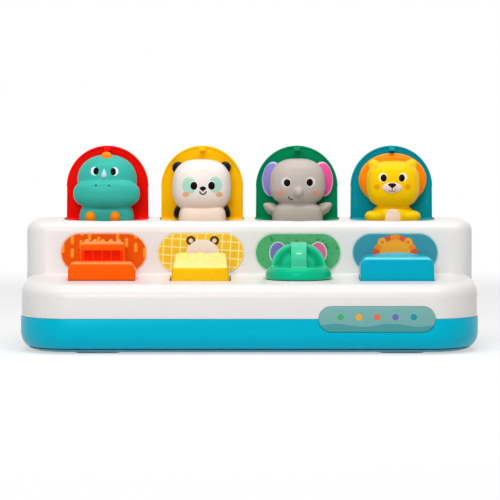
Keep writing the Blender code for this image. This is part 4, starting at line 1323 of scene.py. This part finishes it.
carve(rocker, slab(
    (rocker_x - rocker_half + push_wall, key_front + push_wall + rocker_lean, key_skirt - overrun),
    (rocker_x + rocker_half - push_wall, rocker_back - push_wall, rocker_top - push_wall),
))
carve(rocker, press_foot(rocker_x, rocker_top - push_wall / 2), "UNION")


def painted_crest_highlights(paint, colour):
    """Painted highlights: fine paler lines along the crest, and a paler band along the rounded front
    edge.
    """
    # painted highlight lines along the crest
    painted_crest_line = 1 - (abs(paint.y / crest_lines % 1.0 - 0.5) / line_share).held()
    above = ((paint.z - rocker_top - 0.0003) / 0.0003).held()
    # painted highlight along the rounded top front edge
    front = paint.y < key_front + 2 * rocker_edge
    edge = (1 - abs(paint.z - rocker_top + 0.0014) / 0.0012).held() * front
    return paint.mix((painted_crest_line * above * 0.7).most(edge) * 0.85, colour, ink("#7CE8F0"))


rocker_plastic = moulded("rocker_plastic", "#02A3BE", 0.24, 0.006, 0.03, over=painted_crest_highlights)
dressed(smooth(rocker, 40), "rocker_moulding", rocker_plastic, "rocker", "rocker", "rocker_key")

# The picture panels: thin printed films glued into shallow recesses in the riser, each with a
# simple pattern in its animal's colours, and a pale border where the print stops short.
panel_rim = 0.0008
dash_pitch = (0.0066, 0.0098)
dash_reach = 0.0022
dash_radius = 0.0013
grid_pitch = 0.0061
leaf_scale = 120.0
spot_scale = 230.0
mane_wedges = 7


def film_border(paint, colour, code):
    """A pale border inside the film's edge."""
    run = panel_length / 2 - panel_height / 2
    out = (abs(paint.x) - run).most(0)
    reach = (out ** 2 + paint.z ** 2) ** 0.5
    rim = ((reach - panel_height / 2 + panel_rim) / 0.0003).held()
    return paint.mix(rim * 0.8, colour, ink(code))


def dash_print(paint, colour):
    """Short upright dashes with round ends, scattered over orange."""
    pitch_x, pitch_z = dash_pitch
    column = (paint.x / pitch_x).floor()
    shift = (column * 0.37) % 1.0
    row = (paint.z / pitch_z + shift).floor()
    spot = paint.node("ShaderNodeCombineXYZ", {}, {0: column, 1: row, 2: 0.0})
    chance = paint.node("ShaderNodeTexWhiteNoise", {"noise_dimensions": "2D"}, {"Vector": spot})
    across = paint.x - (column + 0.5 + (chance - 0.5) * 0.3) * pitch_x
    up = (abs(paint.z - (row + 0.5 - shift) * pitch_z) - dash_reach).most(0)
    reach = (across ** 2 + up ** 2) ** 0.5
    dash = ((dash_radius - reach) / print_edge).held() * (chance > 0.22)
    colour = paint.mix(dash, colour, ink("#FF9A2C"))
    return film_border(paint, colour, "#FFC9A0")


def grid_print(paint, colour):
    """A pale grid on yellow, with the top of a plain round head and two dark ears."""
    across, up = (
        abs(place / grid_pitch % 1.0 - 0.5) * grid_pitch
        for place in (paint.x - paint.z * 0.05, paint.z + paint.x * 0.06)
    )
    lines = ((0.0005 - across.least(up)) / 0.0002).held()
    colour = paint.mix(lines, colour, ink("#FFE79A"))
    ears = ((-0.0073, 0.0088), (0.0099, 0.0088))
    colour = paint.dabs(colour, (
        ("#3A1A0A", 1, print_edge, (0.0036, 0.0036), *ears),
        ("#E8C8B0", 1, print_edge, (0.0017, 0.0017), *ears),
        ("#EEE0D8", 1, print_edge, (0.0125, 0.0118), (0.0013, -0.0020)),
    ))
    return film_border(paint, colour, "#FFE9AE")


def mottle_print(paint, colour):
    """Leafy mottling in greens, with a lilac and a pink round ear behind the knob."""
    cloud = paint.noise(leaf_scale)
    colour = paint.mix(((cloud - 0.42) * 4).held(), colour, ink("#44A268"))
    spots = paint.noise(spot_scale, 1.0)
    colour = paint.mix(((spots - 0.60) * 16).held() * 0.85, colour, ink("#2F7F47"))
    ears = ((-0.0146, -0.0002), (0.0146, -0.0002))
    colour = paint.dabs(colour, (
        ("#CBE3C8", 1, print_edge, (0.0066, 0.0084), *ears),
        ("#7C6DC0", 1, print_edge, (0.0059, 0.0077), ears[0]),
        ("#E8609A", 1, print_edge, (0.0059, 0.0077), ears[1]),
    ))
    return film_border(paint, colour, "#C4F0CF")


def mane_print(paint, colour):
    """The top of a plain amber head with round ears in a mane of orange and red wedges."""
    angle = paint.node("ShaderNodeMath", {"operation": "ARCTAN2"}, {0: paint.z + 0.004, 1: paint.x})
    mane = paint.blot(0.0, -0.0040, 0.0170, 0.0172, print_edge)
    hair = paint.mix((angle * mane_wedges).wave() > 0, ink("#F5871A"), ink("#E5502A"))
    colour = paint.dabs(paint.mix(mane, colour, hair), (
        ("#F9A52E", 1, print_edge, (0.0032, 0.0032), (-0.0095, 0.0078), (0.0095, 0.0078)),
        ("#D98618", 1, print_edge, (0.0014, 0.0014), (-0.0093, 0.0076), (0.0093, 0.0076)),
        ("#FAA728", 1, print_edge, (0.0122, 0.0142), (0.0, -0.0045)),
    ))
    return film_border(paint, colour, "#A6E4E2")


panel_prints = (
    ("#E25503", dash_print), ("#EBBB2B", grid_print),
    ("#54A871", mottle_print), ("#3A8F9F", mane_print),
)
film = smooth(on_riser(columns[0], 0, -panel_proud, panel_sunk - seat_gap))
for number, panel in in_columns(film):
    code, print_over = panel_prints[number - 1]
    centre = (columns[number - 1], 0, panel_middle)
    paint = moulded(f"panel_print_{number}", code, 0.42, 0.004, 0.02, centre, print_over)
    slot, node = f"panel_{number}", f"picture_panel_{number}"
    dressed(panel, f"panel_film_{number}", paint, slot, "housing", node)

# The front plate: a printed film in muted teal, glued into a shallow recess across the seam. It has
# a plain wave along its foot and a row of coloured dots.
dot_codes = ("#3FA65A", "#F0A01C", "#E2663A", "#6E63B4", "#1F8C9E")
dot_pitch = 0.0130
dot_size = 0.0024
dot_lift = 0.0016
wave_turn = 160.0
wave_height = 0.0011
wave_drop = 0.0040


def plate_print(paint, colour):
    """A wave along the bottom and five dots, evenly spaced."""
    crest = (paint.x * wave_turn).wave() * wave_height - wave_drop
    wave = ((crest - paint.z) / print_edge).held()
    return paint.dabs(paint.mix(wave, colour, ink("#4A9699")), [
        (code, 1, print_edge, (dot_size, dot_size), ((place - 2) * dot_pitch, dot_lift))
        for place, code in enumerate(dot_codes)
    ])


plate = plate_form(0, front_y)
round_over(plate, lambda co: near(co.y, front_y), 0.0004, 3)
plate_paint = moulded(
    "plate_print", "#74A8A4", 0.4, 0.006, 0.02, (plate_x, 0, seam_height), plate_print
)
dressed(smooth(plate), "plate_film", plate_paint, "plate", "housing", "front_plate")

# What is inside keeps its imported shape: steel pins and screws, grey acetal latch levers, and the
# white cams under the deck. Only the springs, drawn from bright wire, are made anew, as merged
# copies of the imported coils that are shaded smooth.
streak_scale = 300.0
steel = Paint("drawn_steel")
steel_streak = steel.noise(streak_scale, 4.0)
steel.put(
    Base_Color=steel.mix(steel_streak, (0.50, 0.51, 0.53, 1), (0.66, 0.67, 0.69, 1)), Metallic=1.0,
    Roughness=steel_streak * 0.2 + 0.2,
)
acetal = moulded("grey_acetal", "#C9CCD0", 0.45, 0.02, 0.03)


def wound(name, node):
    """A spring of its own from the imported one, merged and smooth."""
    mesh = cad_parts[node].data.copy()
    made = bpy.data.objects.new(name, mesh)
    mesh.name = name
    bpy.context.scene.collection.objects.link(made)
    pick(made, "VERT", every)
    bpy.ops.mesh.remove_doubles(threshold=weld)
    smooth(made, 60)
    steel.on(made)
    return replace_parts(made, node)


for number, (x, body) in enumerate(zip(columns, lid_bodies), 1):
    coil = wound(f"lid_coil_{number}", f"lid_spring_{number}")
    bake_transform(coil)
    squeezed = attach(wound(f"return_coil_{number}", f"return_spring_{number}"), "housing")
    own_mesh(squeezed)
for name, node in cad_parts.items():
    if any(word in name for word in ("pin", "spring", "screw")):
        steel.on(node)
    elif "lever" in name:
        acetal.on(node)
    elif name.endswith("cam"):
        inner_white.on(node)

# The floor: a plain pale sheet that keeps the toy's shadow. Far off, and where gloss mirrors it, it
# is as white as the background.
floor_half = 20.0
floor_near = 0.25
floor_far = 0.9
floor_white = (0.93, 0.93, 0.93, 1)
floor_dull = (0.79, 0.79, 0.79, 1)
floor_glow = 0.55

deselect()
bpy.ops.mesh.primitive_plane_add(size=2 * floor_half, location=(0, 0, 0))
floor = bpy.context.object
floor.name = "floor"
floor_paint = Paint("floor_white")
seen_ray = floor_paint.seen_ray()
floor_paint.put(
    Base_Color=floor_paint.mix(seen_ray, floor_dull, floor_white), Roughness=0.9,
    Specular_IOR_Level=0.0,
)
reach = (floor_paint.x ** 2 + floor_paint.y ** 2) ** 0.5
away = ((reach - floor_near) / (floor_far - floor_near)).held()
glow = floor_paint.node("ShaderNodeEmission", {}, {"Color": full_white, "Strength": 1.0})
shown = floor_paint.node("ShaderNodeMixShader", {}, {
    0: away.most(floor_glow) * seen_ray, 1: Value(floor_paint, floor_paint.shader.outputs[0]),
    2: glow,
})
floor_out = floor_paint.tree.nodes["Material Output"]
floor_paint.tree.links.new(shown.socket, floor_out.inputs["Surface"])
floor_paint.on(floor)

deselect()
